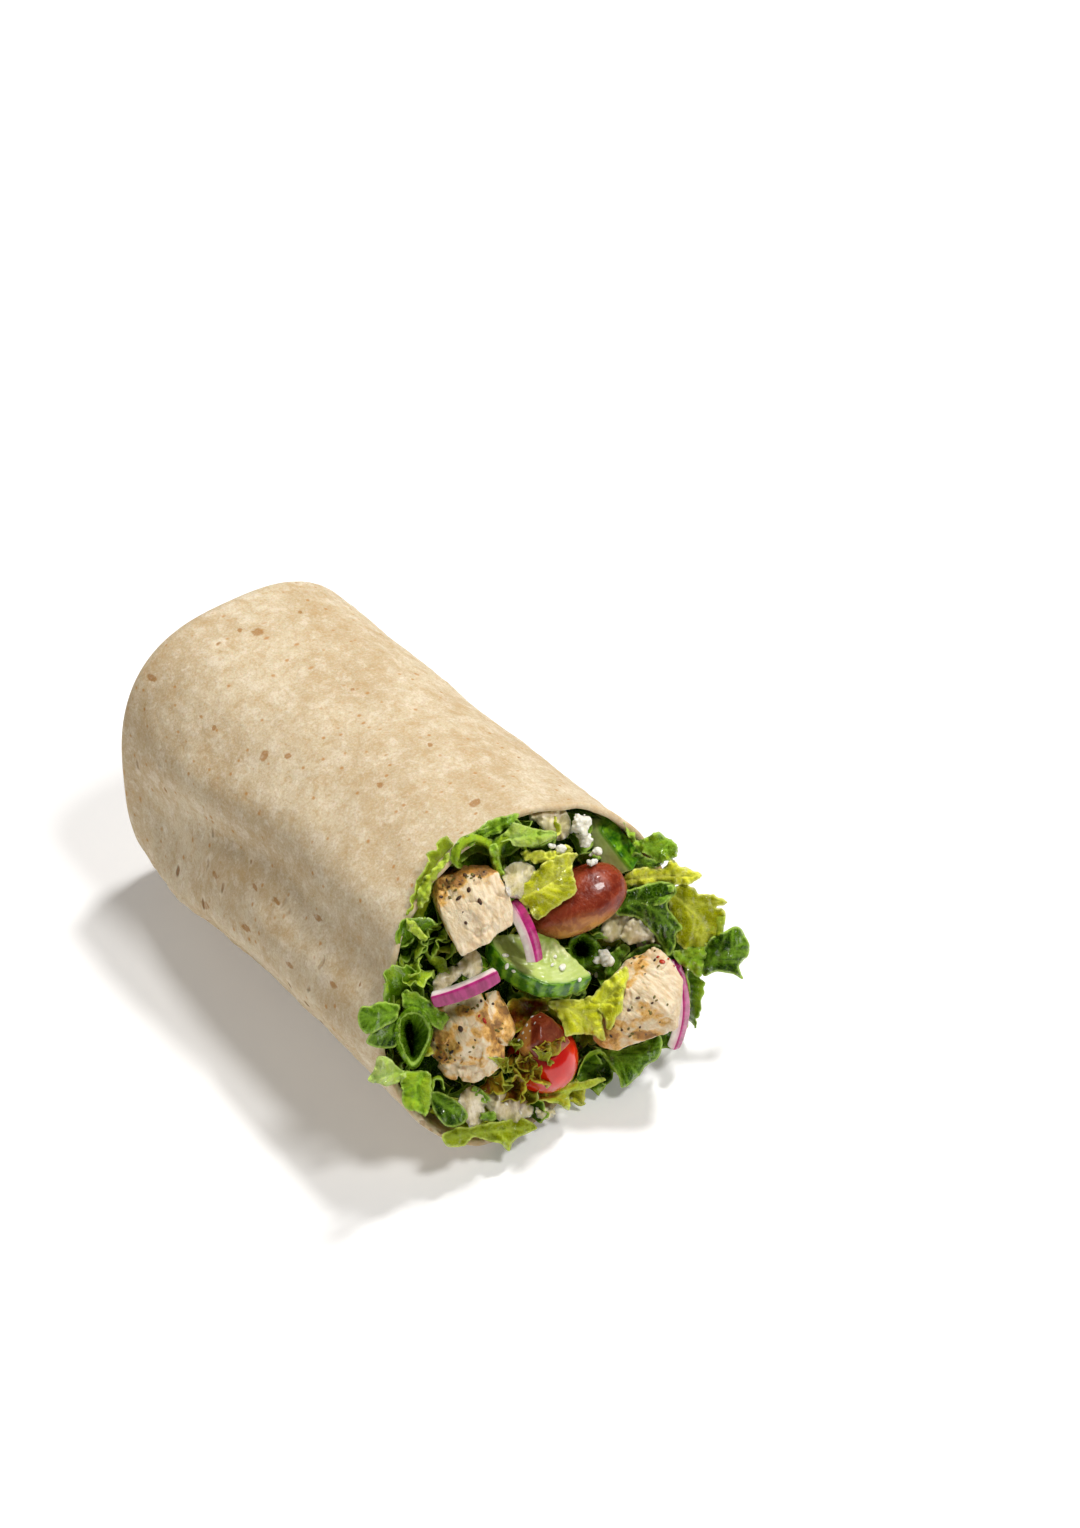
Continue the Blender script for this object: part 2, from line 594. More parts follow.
def patch(into, outline, rib=None, tone=0.4, yellow=0.0, pale=0.0, red=0.0, bulge=1.0,
          teeth=1.3, tooth=7.0, ruffle=0.8, wave=11.0, ctrl=(), thick=0.28, veins=True,
          seed=1, quilt=0.75, wrinkle=0.85, fold=1.0, step=None):
    """A leaf seen flat on: its outline is a list of (px, py, w)."""
    step = step or (1.9)
    ring = spline(outline, max(24, int(_round(outline) / (1.5))), True)
    d = np.roll(ring[:, :2], -1, 0) - np.roll(ring[:, :2], 1, 0)
    area = np.sum(ring[:, 0] * np.roll(ring[:, 1], -1) - np.roll(ring[:, 0], -1) * ring[:, 1])
    nrm = np.stack([d[:, 1], -d[:, 0]], -1) / (np.linalg.norm(d, axis=1, keepdims=True) + 1e-9)
    if area < 0:
        nrm = -nrm
    along = np.arange(len(ring)) * (_round(outline) / len(ring))
    r = np.random.default_rng(seed)
    jag = np.interp(along, np.arange(0, along[-1] + 2 * tooth, tooth) + 0.0,
                    r.uniform(-1, 1, len(np.arange(0, along[-1] + 2 * tooth, tooth))))
    fine = np.interp(along, np.arange(0, along[-1] + tooth, tooth * 0.37),
                     r.uniform(-1, 1, len(np.arange(0, along[-1] + tooth, tooth * 0.37))))
    fade = np.minimum(1, np.minimum(along, along[::-1]) / 6)
    ring[:, :2] += nrm * ((jag * teeth + fine * teeth * 0.45) * fade)[:, None]
    lo, hi = ring[:, :2].min(0), ring[:, :2].max(0)
    gx, gy = np.meshgrid(np.arange(lo[0], hi[0], step), np.arange(lo[1], hi[1], step * 0.87))
    gx = gx + (np.arange(gx.shape[0]) % 2)[:, None] * step / 2
    q = np.stack([gx.ravel(), gy.ravel()], -1)
    q += r.uniform(-0.15, 0.15, q.shape) * step
    closed = np.vstack([ring[:, :2], ring[:1, :2]])
    q = q[inside_of(q, ring[:, :2])]
    if len(q):
        dq, _ = near_line(q, closed)
        q = q[dq > step * 0.55]
    pts = np.vstack([ring[:, :2], q])
    n = len(ring)
    out = geometry.delaunay_2d_cdt([Vector(p) for p in pts],
                                   [(i, (i + 1) % n) for i in range(n)], [], 1, 1e-4)
    xy = np.array([tuple(v) for v in out[0]])
    tri = [tuple(f) for f in out[2]]
    edge, where = near_line(xy, closed)
    ctl = np.vstack([ring] + ([np.asarray(ctrl, float)] if len(ctrl) else []))
    dd = ((xy[:, None] - ctl[None, :, :2]) ** 2).sum(-1) + 0.4
    wt = dd ** -1.4
    wt[:, n:] *= 14
    w = (wt * ctl[None, :, 2]).sum(1) / wt.sum(1)
    half = edge.max() + 1e-6
    w += bulge * (1 - (1 - np.minimum(edge / half, 1)) ** 2)
    mm = xy / PX
    p3 = np.stack([mm[:, 0], mm[:, 1], np.full(len(xy), seed * 3.7)], -1)
    w += wrinkle * (0.65 * nz(p3, 0.22, seed) + 0.30 * nz(p3, 0.62, seed + 9)
                    + 1.25 * (0.30 - np.abs(nz(p3, 0.13, seed + 21))))
    per = _round(outline)
    w += ruffle * np.sin(where * per / wave * TAU * 0.5 + seed + 2.2 * np.sin(where * 19 + seed)) \
        * np.exp(-edge / 6.0)
    vein = np.zeros(len(xy))
    if veins:
        if rib is None:
            c = ring[:, :2].mean(0)
            far = ring[np.argmax(((ring[:, :2] - c) ** 2).sum(1)), :2]
            rib = [2 * c - far * 1.0, c, far]
        path = spline(np.asarray(rib, float), 18)
        dm, am = near_line(xy, path)
        wid = 3.0 * (1 - 0.6 * am)
        vein = np.exp(-(dm / wid) ** 2)
        w += fold * (1 - np.exp(-dm / 9.0)) * np.minimum(1, half / 8)
        lo_ = np.exp(-(dm / (wid * 0.8)) ** 2)
        span = max(half * 3.2, 26)
        for i in range(2, 17, 2 if len(path) > 10 else 1):
            tdir = path[min(i + 1, 17)] - path[i - 1]
            tdir /= np.linalg.norm(tdir) + 1e-9
            for side in (-1, 1):
                if r.random() < 0.28:
                    continue
                turn_ = side * (0.80 + r.uniform(-0.30, 0.30))
                c_, s_ = math.cos(turn_), math.sin(turn_)
                dirn = np.array([tdir[0] * c_ - tdir[1] * s_, tdir[0] * s_ + tdir[1] * c_])
                bend = np.array([-dirn[1], dirn[0]]) * -side * span * 0.16
                st = path[i] + tdir * r.uniform(-1.5, 1.5)
                br = np.array([st, st + dirn * span * 0.5 + bend * 0.3, st + dirn * span + bend * 1.2])
                db, ab = near_line(xy, spline(br, 8))
                vein = np.maximum(vein, 0.75 * np.exp(-(db / (1.35 * (1 - 0.5 * ab))) ** 2))
                lo_ = np.maximum(lo_, 0.7 * np.exp(-(db / 1.9) ** 2))
        w += quilt * (0.55 - lo_)
    cells = nz(p3, 1.25, seed + 4)
    w += 0.55 * quilt * (np.abs(nz(p3, 0.50, seed + 8)) * 1.6 + 0.5 * np.abs(cells)) \
        + 0.08 * nz(p3, 2.2, seed + 6)
    P = at(xy[:, 0], xy[:, 1], w)
    flat = np.stack([mm[:, 0] * MM, mm[:, 1] * MM, np.full(len(xy), (seed * 0.0137) % 1)], -1)
    tone_ = np.clip(tone + 0.24 * nz(p3, 0.33, seed + 2) + 0.12 * nz(p3, 0.9, seed + 3), 0, 1)
    tint = np.stack([tone_, np.full(len(xy), yellow), np.full(len(xy), pale)], -1)
    marks = np.stack([np.exp(-edge / 1.7), vein, np.full(len(xy), red)], -1)
    into.add(P, tri, flat, tint, marks, thick)


def _round(points):
    p = np.asarray(points, float)[:, :2]
    return float(np.linalg.norm(p - np.roll(p, -1, 0), axis=1).sum())


def net(into, rows, closed=False, world=False, nu=None, nv=None, tone=0.4, yellow=0.0,
        pale=0.0, red=0.0, frill=0.0, pitch=3.2, thick=0.28, seed=1, quilt=0.25,
        wrinkle=0.35, eye=False, teeth=0.5, tone_end=None, edge_ring=None):
    """A leaf as a smooth sheet through rows of points, from its root to its free
    edge, which may frill. Points are (px, py, w), or metres when world is set."""
    r = np.random.default_rng(seed + 100)
    conv = []
    for row in rows:
        p = np.asarray(row, float)
        conv.append(p if world else at(p[:, 0], p[:, 1], p[:, 2]))
    length = np.linalg.norm(np.diff(conv[-1], axis=0), axis=1).sum() / MM
    nu = nu or int(np.clip(length / (0.5), 14, 150))
    deep = np.linalg.norm(conv[-1].mean(0) - conv[0].mean(0)) / MM \
        + sum(np.linalg.norm(b.mean(0) - a.mean(0)) for a, b in zip(conv, conv[1:])) / MM * 0.3
    nv = nv or int(np.clip(deep / (0.55), 8, 44))
    R = np.stack([spline(c, nu, closed) for c in conv])
    # even out along the other way
    S = np.stack([spline(R[:, i], nv) for i in range(nu)], 1)
    v = np.linspace(0, 1, nv)[:, None]
    du = np.gradient(S, axis=1)
    if closed:
        du = (np.roll(S, -1, 1) - np.roll(S, 1, 1)) / 2
    dv = np.gradient(S, axis=0)
    N = np.cross(du, dv)
    N /= np.linalg.norm(N, axis=-1, keepdims=True) + 1e-12
    ulen = np.r_[0, np.cumsum(np.linalg.norm(np.diff(S[-1], axis=0), axis=1))] / MM
    U = np.broadcast_to(ulen, (nv, nu))
    vlen = np.cumsum(np.linalg.norm(dv, axis=-1).mean(1)) / MM
    V = np.broadcast_to(vlen[:, None], (nv, nu))
    p3 = np.stack([U, V, np.full(U.shape, seed * 5.1)], -1).reshape(-1, 3)
    ph = U / pitch * TAU * 0.5 + 1.3 * np.sin(U * 0.55 + seed)
    amp = frill * (v ** 2.2) * (0.65 + 0.5 * nz(p3, 0.16, seed).reshape(U.shape))
    off = amp * np.sin(ph) + amp * 0.40 * np.sin(2.3 * ph + 1.0) * v
    off = off + wrinkle * nz(p3, 0.30, seed + 3).reshape(U.shape) * np.minimum(1, 3 * v)
    off = off + wrinkle * 0.45 * nz(p3, 0.85, seed + 5).reshape(U.shape)
    # veins that fan from the root
    fan = np.abs(np.mod(U / 4.3 + 0.35 * nz(p3, 0.12, seed + 7).reshape(U.shape) + 0.2 * seed, 1) - 0.5) * 2
    vein = np.exp(-((fan / 0.17) ** 2)) * (1 - 0.45 * v)
    fork = np.abs(np.mod(U / 2.1 + 0.5 * v + 0.35 * nz(p3, 0.2, seed + 8).reshape(U.shape), 1) - 0.5) * 2
    vein = np.maximum(vein, 0.55 * np.exp(-((fork / 0.20) ** 2)) * smooth01((v - 0.35) / 0.3))
    off = off + quilt * (0.45 - vein) + 0.10 * nz(p3, 1.7, seed + 6).reshape(U.shape)
    edge_push = teeth * np.interp(U.ravel(), np.arange(0, 400, 1.1), r.uniform(-1, 1, 364)).reshape(U.shape)
    S = S + N * (off * MM)[..., None] + (dv / (np.linalg.norm(dv, axis=-1, keepdims=True) + 1e-12)) \
        * (edge_push * MM * v ** 8)[..., None]
    faces = grid_faces(nv, nu, closed)
    flat = np.stack([U * MM, V * MM, np.full(U.shape, (seed * 0.0171) % 1)], -1).reshape(-1, 3)
    t = tone + ((tone_end - tone) * v if tone_end is not None else 0) + 0 * U
    tone_ = np.clip(t + 0.20 * nz(p3, 0.35, seed + 2).reshape(U.shape), 0, 1)
    near = np.exp(-(vlen[-1] - V) / 0.42)
    if edge_ring is not None:
        near = np.exp(-(((v - edge_ring) / 0.022) ** 2)) + 0 * U
    if not closed:
        near = np.maximum(near, np.exp(-np.minimum(U, ulen[-1] - U) / 0.5))
    tint = np.stack([tone_, np.full(U.shape, yellow), np.full(U.shape, pale)], -1).reshape(-1, 3)
    marks = np.stack([near, vein, np.full(U.shape, red)], -1).reshape(-1, 3)
    into.add(S.reshape(-1, 3), faces, flat, tint, marks, thick, face_eye=eye)


def rib_material():
    m = Mat("pale_rib")
    leaf = m.attr("leaf", "Vector")
    marks = m.node("ShaderNodeSeparateXYZ", {0: m.attr("marks", "Vector")})
    n1 = m.noise(m.scaled(leaf, (1.0, 0.35, 1.0), (0, 0, 0.6)), 480, 5, 0.62, 0.4)
    n2 = m.noise(leaf, 1300, 3, 0.6)
    big = m.noise(leaf, 150, 2)
    col = m.mix(m.step(n1, 0.38, 0.62), srgb(200, 184, 140), srgb(240, 228, 202))
    col = m.mix(m.math("MULTIPLY", m.step(big, 0.46, 0.60), 0.40), col, srgb(188, 186, 118))
    col = m.mix(m.math("MULTIPLY", marks.outputs[0], 0.45), col, srgb(238, 234, 214))
    m.set(Base_Color=col, Roughness=m.step(n2, 0.3, 0.7, 0.14, 0.34))
    m.set(Subsurface_Weight=0.45, Subsurface_Radius=(0.0016, 0.0015, 0.0008),
          Subsurface_Scale=1.0, Specular_IOR_Level=0.5, Coat_Weight=0.25, Coat_Roughness=0.08)
    m.set(Normal=m.bump(m.math("MULTIPLY_ADD", n2, 0.4, n1), 0.7, 0.00040))
    return m.m


def leaf_material(name="lettuce"):
    m = Mat(name)
    leaf = m.attr("leaf", "Vector")
    tint = m.node("ShaderNodeSeparateXYZ", {0: m.attr("tint", "Vector")})
    marks = m.node("ShaderNodeSeparateXYZ", {0: m.attr("marks", "Vector")})
    tone, yellow, pale = tint.outputs
    edge, vein, red = marks.outputs
    edge = m.step(m.math("ADD", edge, m.math("MULTIPLY_ADD", m.noise(leaf, 700, 2), 0.3, -0.15)), 0.10, 0.75)
    n1 = m.noise(leaf, 260, 4, 0.55)
    n2 = m.noise(leaf, 900, 3, 0.6)
    cell = m.cells(leaf, 1050, feature="DISTANCE_TO_EDGE")
    thread = m.step(cell, 0.075, 0.0)
    t = m.math("ADD", tone, m.math("MULTIPLY_ADD", n1, 0.6, -0.20), clamp=True)
    green = m.mix(m.step(t, 0.0, 0.55), srgb(14, 44, 0), srgb(78, 116, 2))
    green = m.mix(m.step(t, 0.5, 1.0), green, srgb(156, 184, 40))
    yel = m.mix(m.step(t, 0.1, 0.9), srgb(150, 154, 0), srgb(222, 222, 48))
    col = m.mix(yellow, green, yel)
    bright = m.mix(yellow, srgb(150, 196, 62), srgb(236, 236, 112))
    col = m.mix(m.math("MULTIPLY", vein, m.step(t, 0.0, 0.6, 0.42, 0.72)), col, bright)
    col = m.mix(m.math("MULTIPLY", thread, 0.20), col, bright)
    col = m.mix(m.math("MULTIPLY", edge, 0.80), col, m.mix(0.25, bright, srgb(226, 232, 150)))
    col = m.mix(m.math("MULTIPLY", m.step(n2, 0.45, 0.25), 0.10), col,
                m.mix(yellow, srgb(16, 58, 2), srgb(132, 140, 0)))
    pale_c = m.mix(m.step(m.noise(m.scaled(leaf, (1.0, 0.3, 1.0)), 420, 4, 0.6), 0.38, 0.62), srgb(168, 176, 112), srgb(216, 216, 180))
    col = m.mix(pale, col, pale_c)
    red_c = m.mix(m.step(n1, 0.40, 0.60), srgb(104, 44, 12), srgb(150, 116, 26))
    red_c = m.mix(m.step(n2, 0.52, 0.68), red_c, srgb(110, 106, 16))
    red_c = m.mix(m.math("MULTIPLY", edge, 0.85), red_c, srgb(186, 182, 60))
    col = m.mix(red, col, red_c)
    m.set(Base_Color=col, Roughness=m.step(n2, 0.3, 0.7, 0.15, 0.25))
    wet = m.step(m.noise(m.scaled(leaf, (1.0, 0.4, 1.0)), 620, 3, 0.6), 0.55, 0.62)
    m.set(Subsurface_Weight=0.20, Subsurface_Radius=(0.0005, 0.0007, 0.0001),
          Subsurface_Scale=1.0, Specular_IOR_Level=m.math("MULTIPLY_ADD", wet, 0.85, 0.03))
    h = m.math("MULTIPLY_ADD", m.step(cell, 0.0, 0.20), 0.45, m.math("MULTIPLY", n2, 0.22))
    m.set(Normal=m.bump(h, 0.7, 0.00028))
    return m.m


# -------------------------------------------------------------------- toppings
def eye_pt(px, py, t, ref):
    """The point seen at (px, py) that lies t mm nearer the eye than ref."""
    d = E_IN + (px - WIDE / 2) / FOCAL * E_RIGHT + (HIGH / 2 - py) / FOCAL * E_UP
    far = (np.asarray(ref) - EYE) @ E_IN
    return EYE + d * (far - t * MM)


def hull(points):
    bm = bmesh.new()
    for p in points:
        bm.verts.new(p)
    bmesh.ops.convex_hull(bm, input=bm.verts[:])
    loose = [v for v in bm.verts if not v.link_faces]
    bmesh.ops.delete(bm, geom=loose, context="VERTS")
    bmesh.ops.recalc_face_normals(bm, faces=bm.faces[:])
    return bm


def remeshed(bm, name, voxel, round_by=0.0, smooth=4):
    """The solid as an even quad mesh, with softened corners."""
    if round_by:
        bmesh.ops.bevel(bm, geom=bm.edges[:] + bm.verts[:], offset=round_by, segments=2,
                        affect="EDGES", profile=0.6, clamp_overlap=True)
    me = bpy.data.meshes.new(name)
    bm.to_mesh(me)
    bm.free()
    ob = bpy.data.objects.new(name, me)
    bpy.context.scene.collection.objects.link(ob)
    mod = ob.modifiers.new("r", "REMESH")
    mod.mode = "VOXEL"
    mod.voxel_size = voxel * 1.0
    if smooth:
        sm = ob.modifiers.new("s", "SMOOTH")
        sm.iterations = smooth
        sm.factor = 0.5
    dg = bpy.context.evaluated_depsgraph_get()
    new = bpy.data.meshes.new_from_object(ob.evaluated_get(dg))
    ob.modifiers.clear()
    ob.data = new
    new.name = name
    bpy.data.meshes.remove(me)
    new.shade_smooth()
    return ob


def coords_of(me):
    co = np.empty(len(me.vertices) * 3)
    me.vertices.foreach_get("co", co)
    no = np.empty(len(me.vertices) * 3)
    me.vertices.foreach_get("normal", no)
    return co.reshape(-1, 3), no.reshape(-1, 3)


def put_coords(me, co):
    me.vertices.foreach_set("co", np.asarray(co).ravel())
    me.update()


def put_attr(me, name, val):
    val = np.asarray(val, float)
    if val.ndim == 1:
        me.attributes.new(name, "FLOAT", "POINT").data.foreach_set("value", val)
    else:
        me.attributes.new(name, "FLOAT_VECTOR", "POINT").data.foreach_set("vector", val.ravel())


def chicken(name, centre, outline, back, sear, grain, grooves=(), seed=1, mat=None,
            lumps=0.5, stains=(), more=(), soft=9):
    """A cut chunk of grilled breast: outline and back are (px, py, t)."""
    pts = [eye_pt(*p, centre) for p in list(outline) + list(back)]
    bm = hull(pts)
    for part in more:
        piece = hull([eye_pt(*p, centre) for p in part])
        tmp = bpy.data.meshes.new("t")
        piece.to_mesh(tmp)
        piece.free()
        bm.from_mesh(tmp)
        bpy.data.meshes.remove(tmp)
    ob = remeshed(bm, name, 0.00030, 0.0, soft)
    me = ob.data
    co, no = coords_of(me)
    g = eye_dir(grain)
    side = np.cross(g, E_OUT)
    side /= np.linalg.norm(side)
    third = np.cross(g, side)
    loc = (co - centre) @ np.stack([g, side, third], -1)
    fib = loc * np.array([0.16, 1.0, 1.0])
    big = nz(co, 150, seed)
    mid = nz(co, 330, seed + 15)
    f1 = nz(fib, 560, seed + 1)
    f2 = nz(fib, 1300, seed + 2)
    f3 = nz(loc * np.array([0.45, 1, 1]), 2600, seed + 6)
    split = nz(fib, 330, seed + 3)
    crack = np.clip(1 - np.abs(split) / 0.07, 0, 1) ** 1.5
    rough = smooth01((nz(co, 120, seed + 11) + 0.25) / 0.5)
    peb = nz(co * np.array([1.0, 1.0, 1.0]), 520, seed + 12)
    peb2 = nz(co, 1000, seed + 13)
    torn = smooth01((nz(co, 210, seed + 4) + 0.15) / 0.3)
    cleft = np.clip(1 - np.abs(nz(co, 210, seed + 16)) / 0.10, 0, 1) ** 1.3
    d = (lumps * big + 0.50 * mid * (0.45 + 0.55 * rough) + 0.16 * f1 + 0.08 * f2 + 0.05 * f3
         + rough * (0.26 * peb + 0.16 * peb2) - 0.30 * crack * torn - 0.45 * cleft * torn)
    for (a, b, deep, wide) in grooves:
        pa, pb = eye_pt(*a, centre), eye_pt(*b, centre)
        ab = pb - pa
        t = np.clip(((co - pa) @ ab) / (ab @ ab), 0, 1)
        far = np.linalg.norm(co - pa - t[:, None] * ab, axis=1) / MM
        d -= deep * np.exp(-(far / wide) ** 2)
    co = co + no * (d * MM)[:, None]
    put_coords(me, co)
    s = np.full(len(co), 0.0)
    for direction, lo, hi, amount in sear:
        s = np.maximum(s, amount * smooth01((no @ eye_dir(direction) - lo) / (hi - lo)))
    px, py, _ = pixel_of(co)
    front = smooth01((no @ E_OUT + 0.1) / 0.3)
    for (x, y, rx, ry, amount) in stains:
        k = ((px - x) / rx) ** 2 + ((py - y) / ry) ** 2
        s = np.maximum(s, amount * np.exp(-k ** 1.4) * front)
    s = np.clip(s + (0.42 * nz(co, 330, seed + 5) + 0.20 * nz(co, 800, seed + 6)) * smooth01(s / 0.2)
                + 0.08 * nz(co, 700, seed + 8), 0, 1)
    put_attr(me, "sear", s)
    put_attr(me, "grain", loc)
    put_attr(me, "crack", crack)
    me.materials.append(mat)
    return ob


def chicken_material():
    m = Mat("chicken")
    g = m.attr("grain", "Vector")
    sear = m.attr("sear")
    crack = m.attr("crack")
    fib = m.noise(m.scaled(g, (0.20, 1.0, 1.0)), 900, 4, 0.6, 0.3)
    n1 = m.noise(g, 260, 4, 0.6)
    n2 = m.noise(g, 1100, 4, 0.65)
    col = m.mix(m.step(fib, 0.35, 0.65), srgb(218, 194, 154), srgb(237, 223, 194))
    col = m.mix(m.math("MULTIPLY", m.step(n1, 0.50, 0.72), 0.30), col, srgb(224, 190, 150))
    col = m.mix(m.math("MULTIPLY", crack, 0.12), col, srgb(214, 178, 136))
    s = m.math("ADD", sear, m.math("MULTIPLY_ADD", n2, 0.5, -0.25), clamp=True)
    brown = m.mix(m.step(n1, 0.35, 0.68), srgb(168, 108, 10), srgb(104, 64, 0))
    brown = m.mix(m.step(n2, 0.56, 0.70), brown, srgb(80, 46, 4))
    gold = m.mix(m.step(n2, 0.42, 0.62), srgb(228, 180, 92), srgb(212, 154, 54))
    gold = m.mix(m.step(n1, 0.60, 0.72), gold, srgb(160, 108, 40))
    brown = m.mix(m.step(s, 0.50, 0.86), gold, brown)
    on = m.math("MULTIPLY", m.step(s, 0.20, 0.60), m.step(sear, 0.02, 0.15))
    col = m.mix(m.math("MULTIPLY", on, 0.92), col, brown)
    m.set(Base_Color=col, Roughness=m.step(n2, 0.3, 0.7, 0.40, 0.58))
    m.set(Subsurface_Weight=0.28, Subsurface_Radius=(0.0022, 0.0012, 0.0007),
          Subsurface_Scale=1.0, Specular_IOR_Level=0.42)
    h = m.math("MULTIPLY_ADD", fib, 0.8, m.math("MULTIPLY", n2, 0.9))
    m.set(Normal=m.bump(h, 0.7, 0.00044))
    return m.m


def frame_at(centre, z, x):
    """Axes, as columns, of a piece that stands along z, both seen by the eye."""
    Z = eye_dir(z)
    X = eye_dir(x)
    X = X - Z * (X @ Z)
    X /= np.linalg.norm(X)
    return np.stack([X, np.cross(Z, X), Z], -1), np.asarray(centre)


def place(local, centre, z, x):
    A, c = frame_at(centre, z, x)
    return np.asarray(local) @ A.T + c


def lathe_like(fn, nu, nv, name, mat, attr_fn=None):
    """A closed ball-like surface: fn(lon, lat) gives points, lat from -pi/2 up."""
    lon = np.linspace(0, TAU, nu, endpoint=False)
    lat = np.linspace(-math.pi / 2, math.pi / 2, nv + 2)[1:-1]
    LO, LA = np.meshgrid(lon, lat)
    P = fn(LO, LA)
    verts = P.reshape(-1, 3)
    n = len(verts)
    verts = np.vstack([verts, P[0].mean(0), P[-1].mean(0)])
    faces = grid_faces(nv, nu)
    faces += [(n, (j + 1) % nu, j) for j in range(nu)]
    base = (nv - 1) * nu
    faces += [(base + j, base + (j + 1) % nu, n + 1) for j in range(nu)]
    return make(name, verts, faces, mat)


def olive_material():
    m = Mat("olive")
    loc = m.attr("at", "Vector")
    n1 = m.noise(loc, 230, 5, 0.6, 0.5)
    n2 = m.noise(loc, 1400, 3, 0.6)
    fade = m.attr("under")
    col = m.mix(m.step(n1, 0.34, 0.66), srgb(108, 30, 12), srgb(152, 62, 34))
    col = m.mix(m.math("MULTIPLY", m.step(n2, 0.50, 0.72), 0.30), col, srgb(178, 100, 70))
    under = m.mix(m.step(n1, 0.4, 0.6), srgb(164, 98, 48), srgb(204, 142, 70))
    col = m.mix(m.step(fade, 0.30, 0.85), col, under)
    flesh = m.attr("flesh")
    fl = m.mix(m.step(n1, 0.35, 0.65), srgb(120, 54, 34), srgb(162, 90, 58))
    col = m.mix(flesh, col, fl)
    m.set(Base_Color=col, Roughness=m.step(n1, 0.3, 0.7, 0.20, 0.34))
    m.set(Subsurface_Weight=0.12, Subsurface_Radius=(0.0016, 0.0005, 0.0003),
          Subsurface_Scale=1.0, Specular_IOR_Level=0.26, Coat_Weight=0.24, Coat_Roughness=0.07)
    m.set(Normal=m.bump(m.math("MULTIPLY_ADD", n2, 0.55, n1), 0.55, 0.00050))
    return m.m


def olives(mat):
    c = at(576.9, 902, 1.0)

    def whole(lo, la):
        t = la / (math.pi / 2)
        a, b = 12.75 * MM, 7.6 * MM
        x = a * np.sin(la)
        r = b * np.cos(la) ** 0.92 * (1 + 0.03 * np.sin(3 * lo + 1) + 0.05 * t)
        p = np.stack([x, r * np.cos(lo), r * np.sin(lo)], -1)
        f = p.reshape(-1, 3)
        k = 1 + 0.018 * nz(f, 260, 21) + 0.010 * nz(f * [0.35, 1, 1], 900, 22)
        p = (f * k[:, None]).reshape(p.shape)
        tip = np.exp(-((1 - t) / 0.05) ** 2)
        p[..., 0] -= 0.0007 * tip
        return p

    n = ((120, 90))
    ob = lathe_like(whole, *n, "olive_kalamata", mat)
    co, _ = coords_of(ob.data)
    w = place(co, c, (0, 0, 1), (.86, .46, .2))
    put_attr(ob.data, "at", co)
    d = (w - c) / np.linalg.norm(w - c, axis=1, keepdims=True)
    put_attr(ob.data, "under", np.clip(d @ eye_dir((.25, -.95, .1)), 0, 1))
    put_attr(ob.data, "flesh", np.zeros(len(co)))
    put_coords(ob.data, w)

    # a cut half, pinched to a point, its skin towards the eye
    c2 = at(541, 1030, 6.0)
    pts = [(541, 1011, -.5), (530, 1017, .8), (552, 1017, .8), (519, 1033, .6), (564, 1032, .4),
           (512, 1044, -1), (571, 1042, -1), (525, 1048, 3), (556, 1046, 3), (540, 1026, 4.4),
           (541, 1040, 5.2), (541, 1060, 1), (524, 1058, -1), (558, 1056, -1), (541, 1028, -5),
           (520, 1048, -5), (562, 1046, -5)]
    ob2 = remeshed(hull([eye_pt(*p, c2) for p in pts]), "olive_cut", 0.00028, 0.0, 14)
    co, no = coords_of(ob2.data)
    put_attr(ob2.data, "at", co)
    px, py, _ = pixel_of(co)
    put_attr(ob2.data, "under", np.maximum(smooth01((0.72 - no @ E_OUT) / 0.5) * 0.9,
                                           smooth01((536 - px) / 9) * 0.95))
    put_attr(ob2.data, "flesh", 0.85 * np.exp(-(((px - 550) / 13) ** 2 + ((py - 1036) / 12) ** 2)))
    co = co + no * ((0.22 * nz(co, 260, 23) + 0.10 * nz(co, 700, 24)) * MM)[:, None]
    put_coords(ob2.data, co)
    ob2.data.materials.append(mat)
    point_outwards(ob2)
    point_outwards(ob)
    return ob, ob2


def tomato_material():
    m = Mat("tomato")
    loc = m.attr("at", "Vector")
    n1 = m.noise(loc, 160, 3, 0.5)
    n2 = m.noise(loc, 2200, 2, 0.5)
    col = m.mix(m.step(n1, 0.3, 0.7), srgb(200, 8, 2), srgb(226, 34, 4))
    m.set(Base_Color=col, Roughness=0.16, Subsurface_Weight=0.18,
          Subsurface_Radius=(0.0022, 0.0004, 0.0002), Subsurface_Scale=1.0,
          Specular_IOR_Level=0.5, Coat_Weight=0.5, Coat_Roughness=0.05)
    m.set(Normal=m.bump(m.math("MULTIPLY_ADD", n2, 0.3, n1), 0.10, 0.0002))
    return m.m


def tomato(mat):
    c = at(543, 1057, 1.2)

    def ball(lo, la):
        r = 8.7 * MM * (1 + 0.018 * np.cos(3 * lo) + 0.01 * np.sin(2 * lo + 1))
        x = r * np.cos(la) * np.cos(lo)
        y = r * np.cos(la) * np.sin(lo)
        z = 9.4 * MM * np.sin(la)
        p = np.stack([x, y, z], -1)
        tip = np.exp(-((la - math.pi / 2) / 0.22) ** 2)
        p[..., 2] -= 0.0013 * tip
        return p

    n = ((112, 80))
    ob = lathe_like(ball, *n, "cherry_tomato", mat)
    co, _ = coords_of(ob.data)
    put_attr(ob.data, "at", co)
    put_coords(ob.data, place(co, c, (.1, .25, 1), (.30, 1, -.4)))
    point_outwards(ob)
    return ob


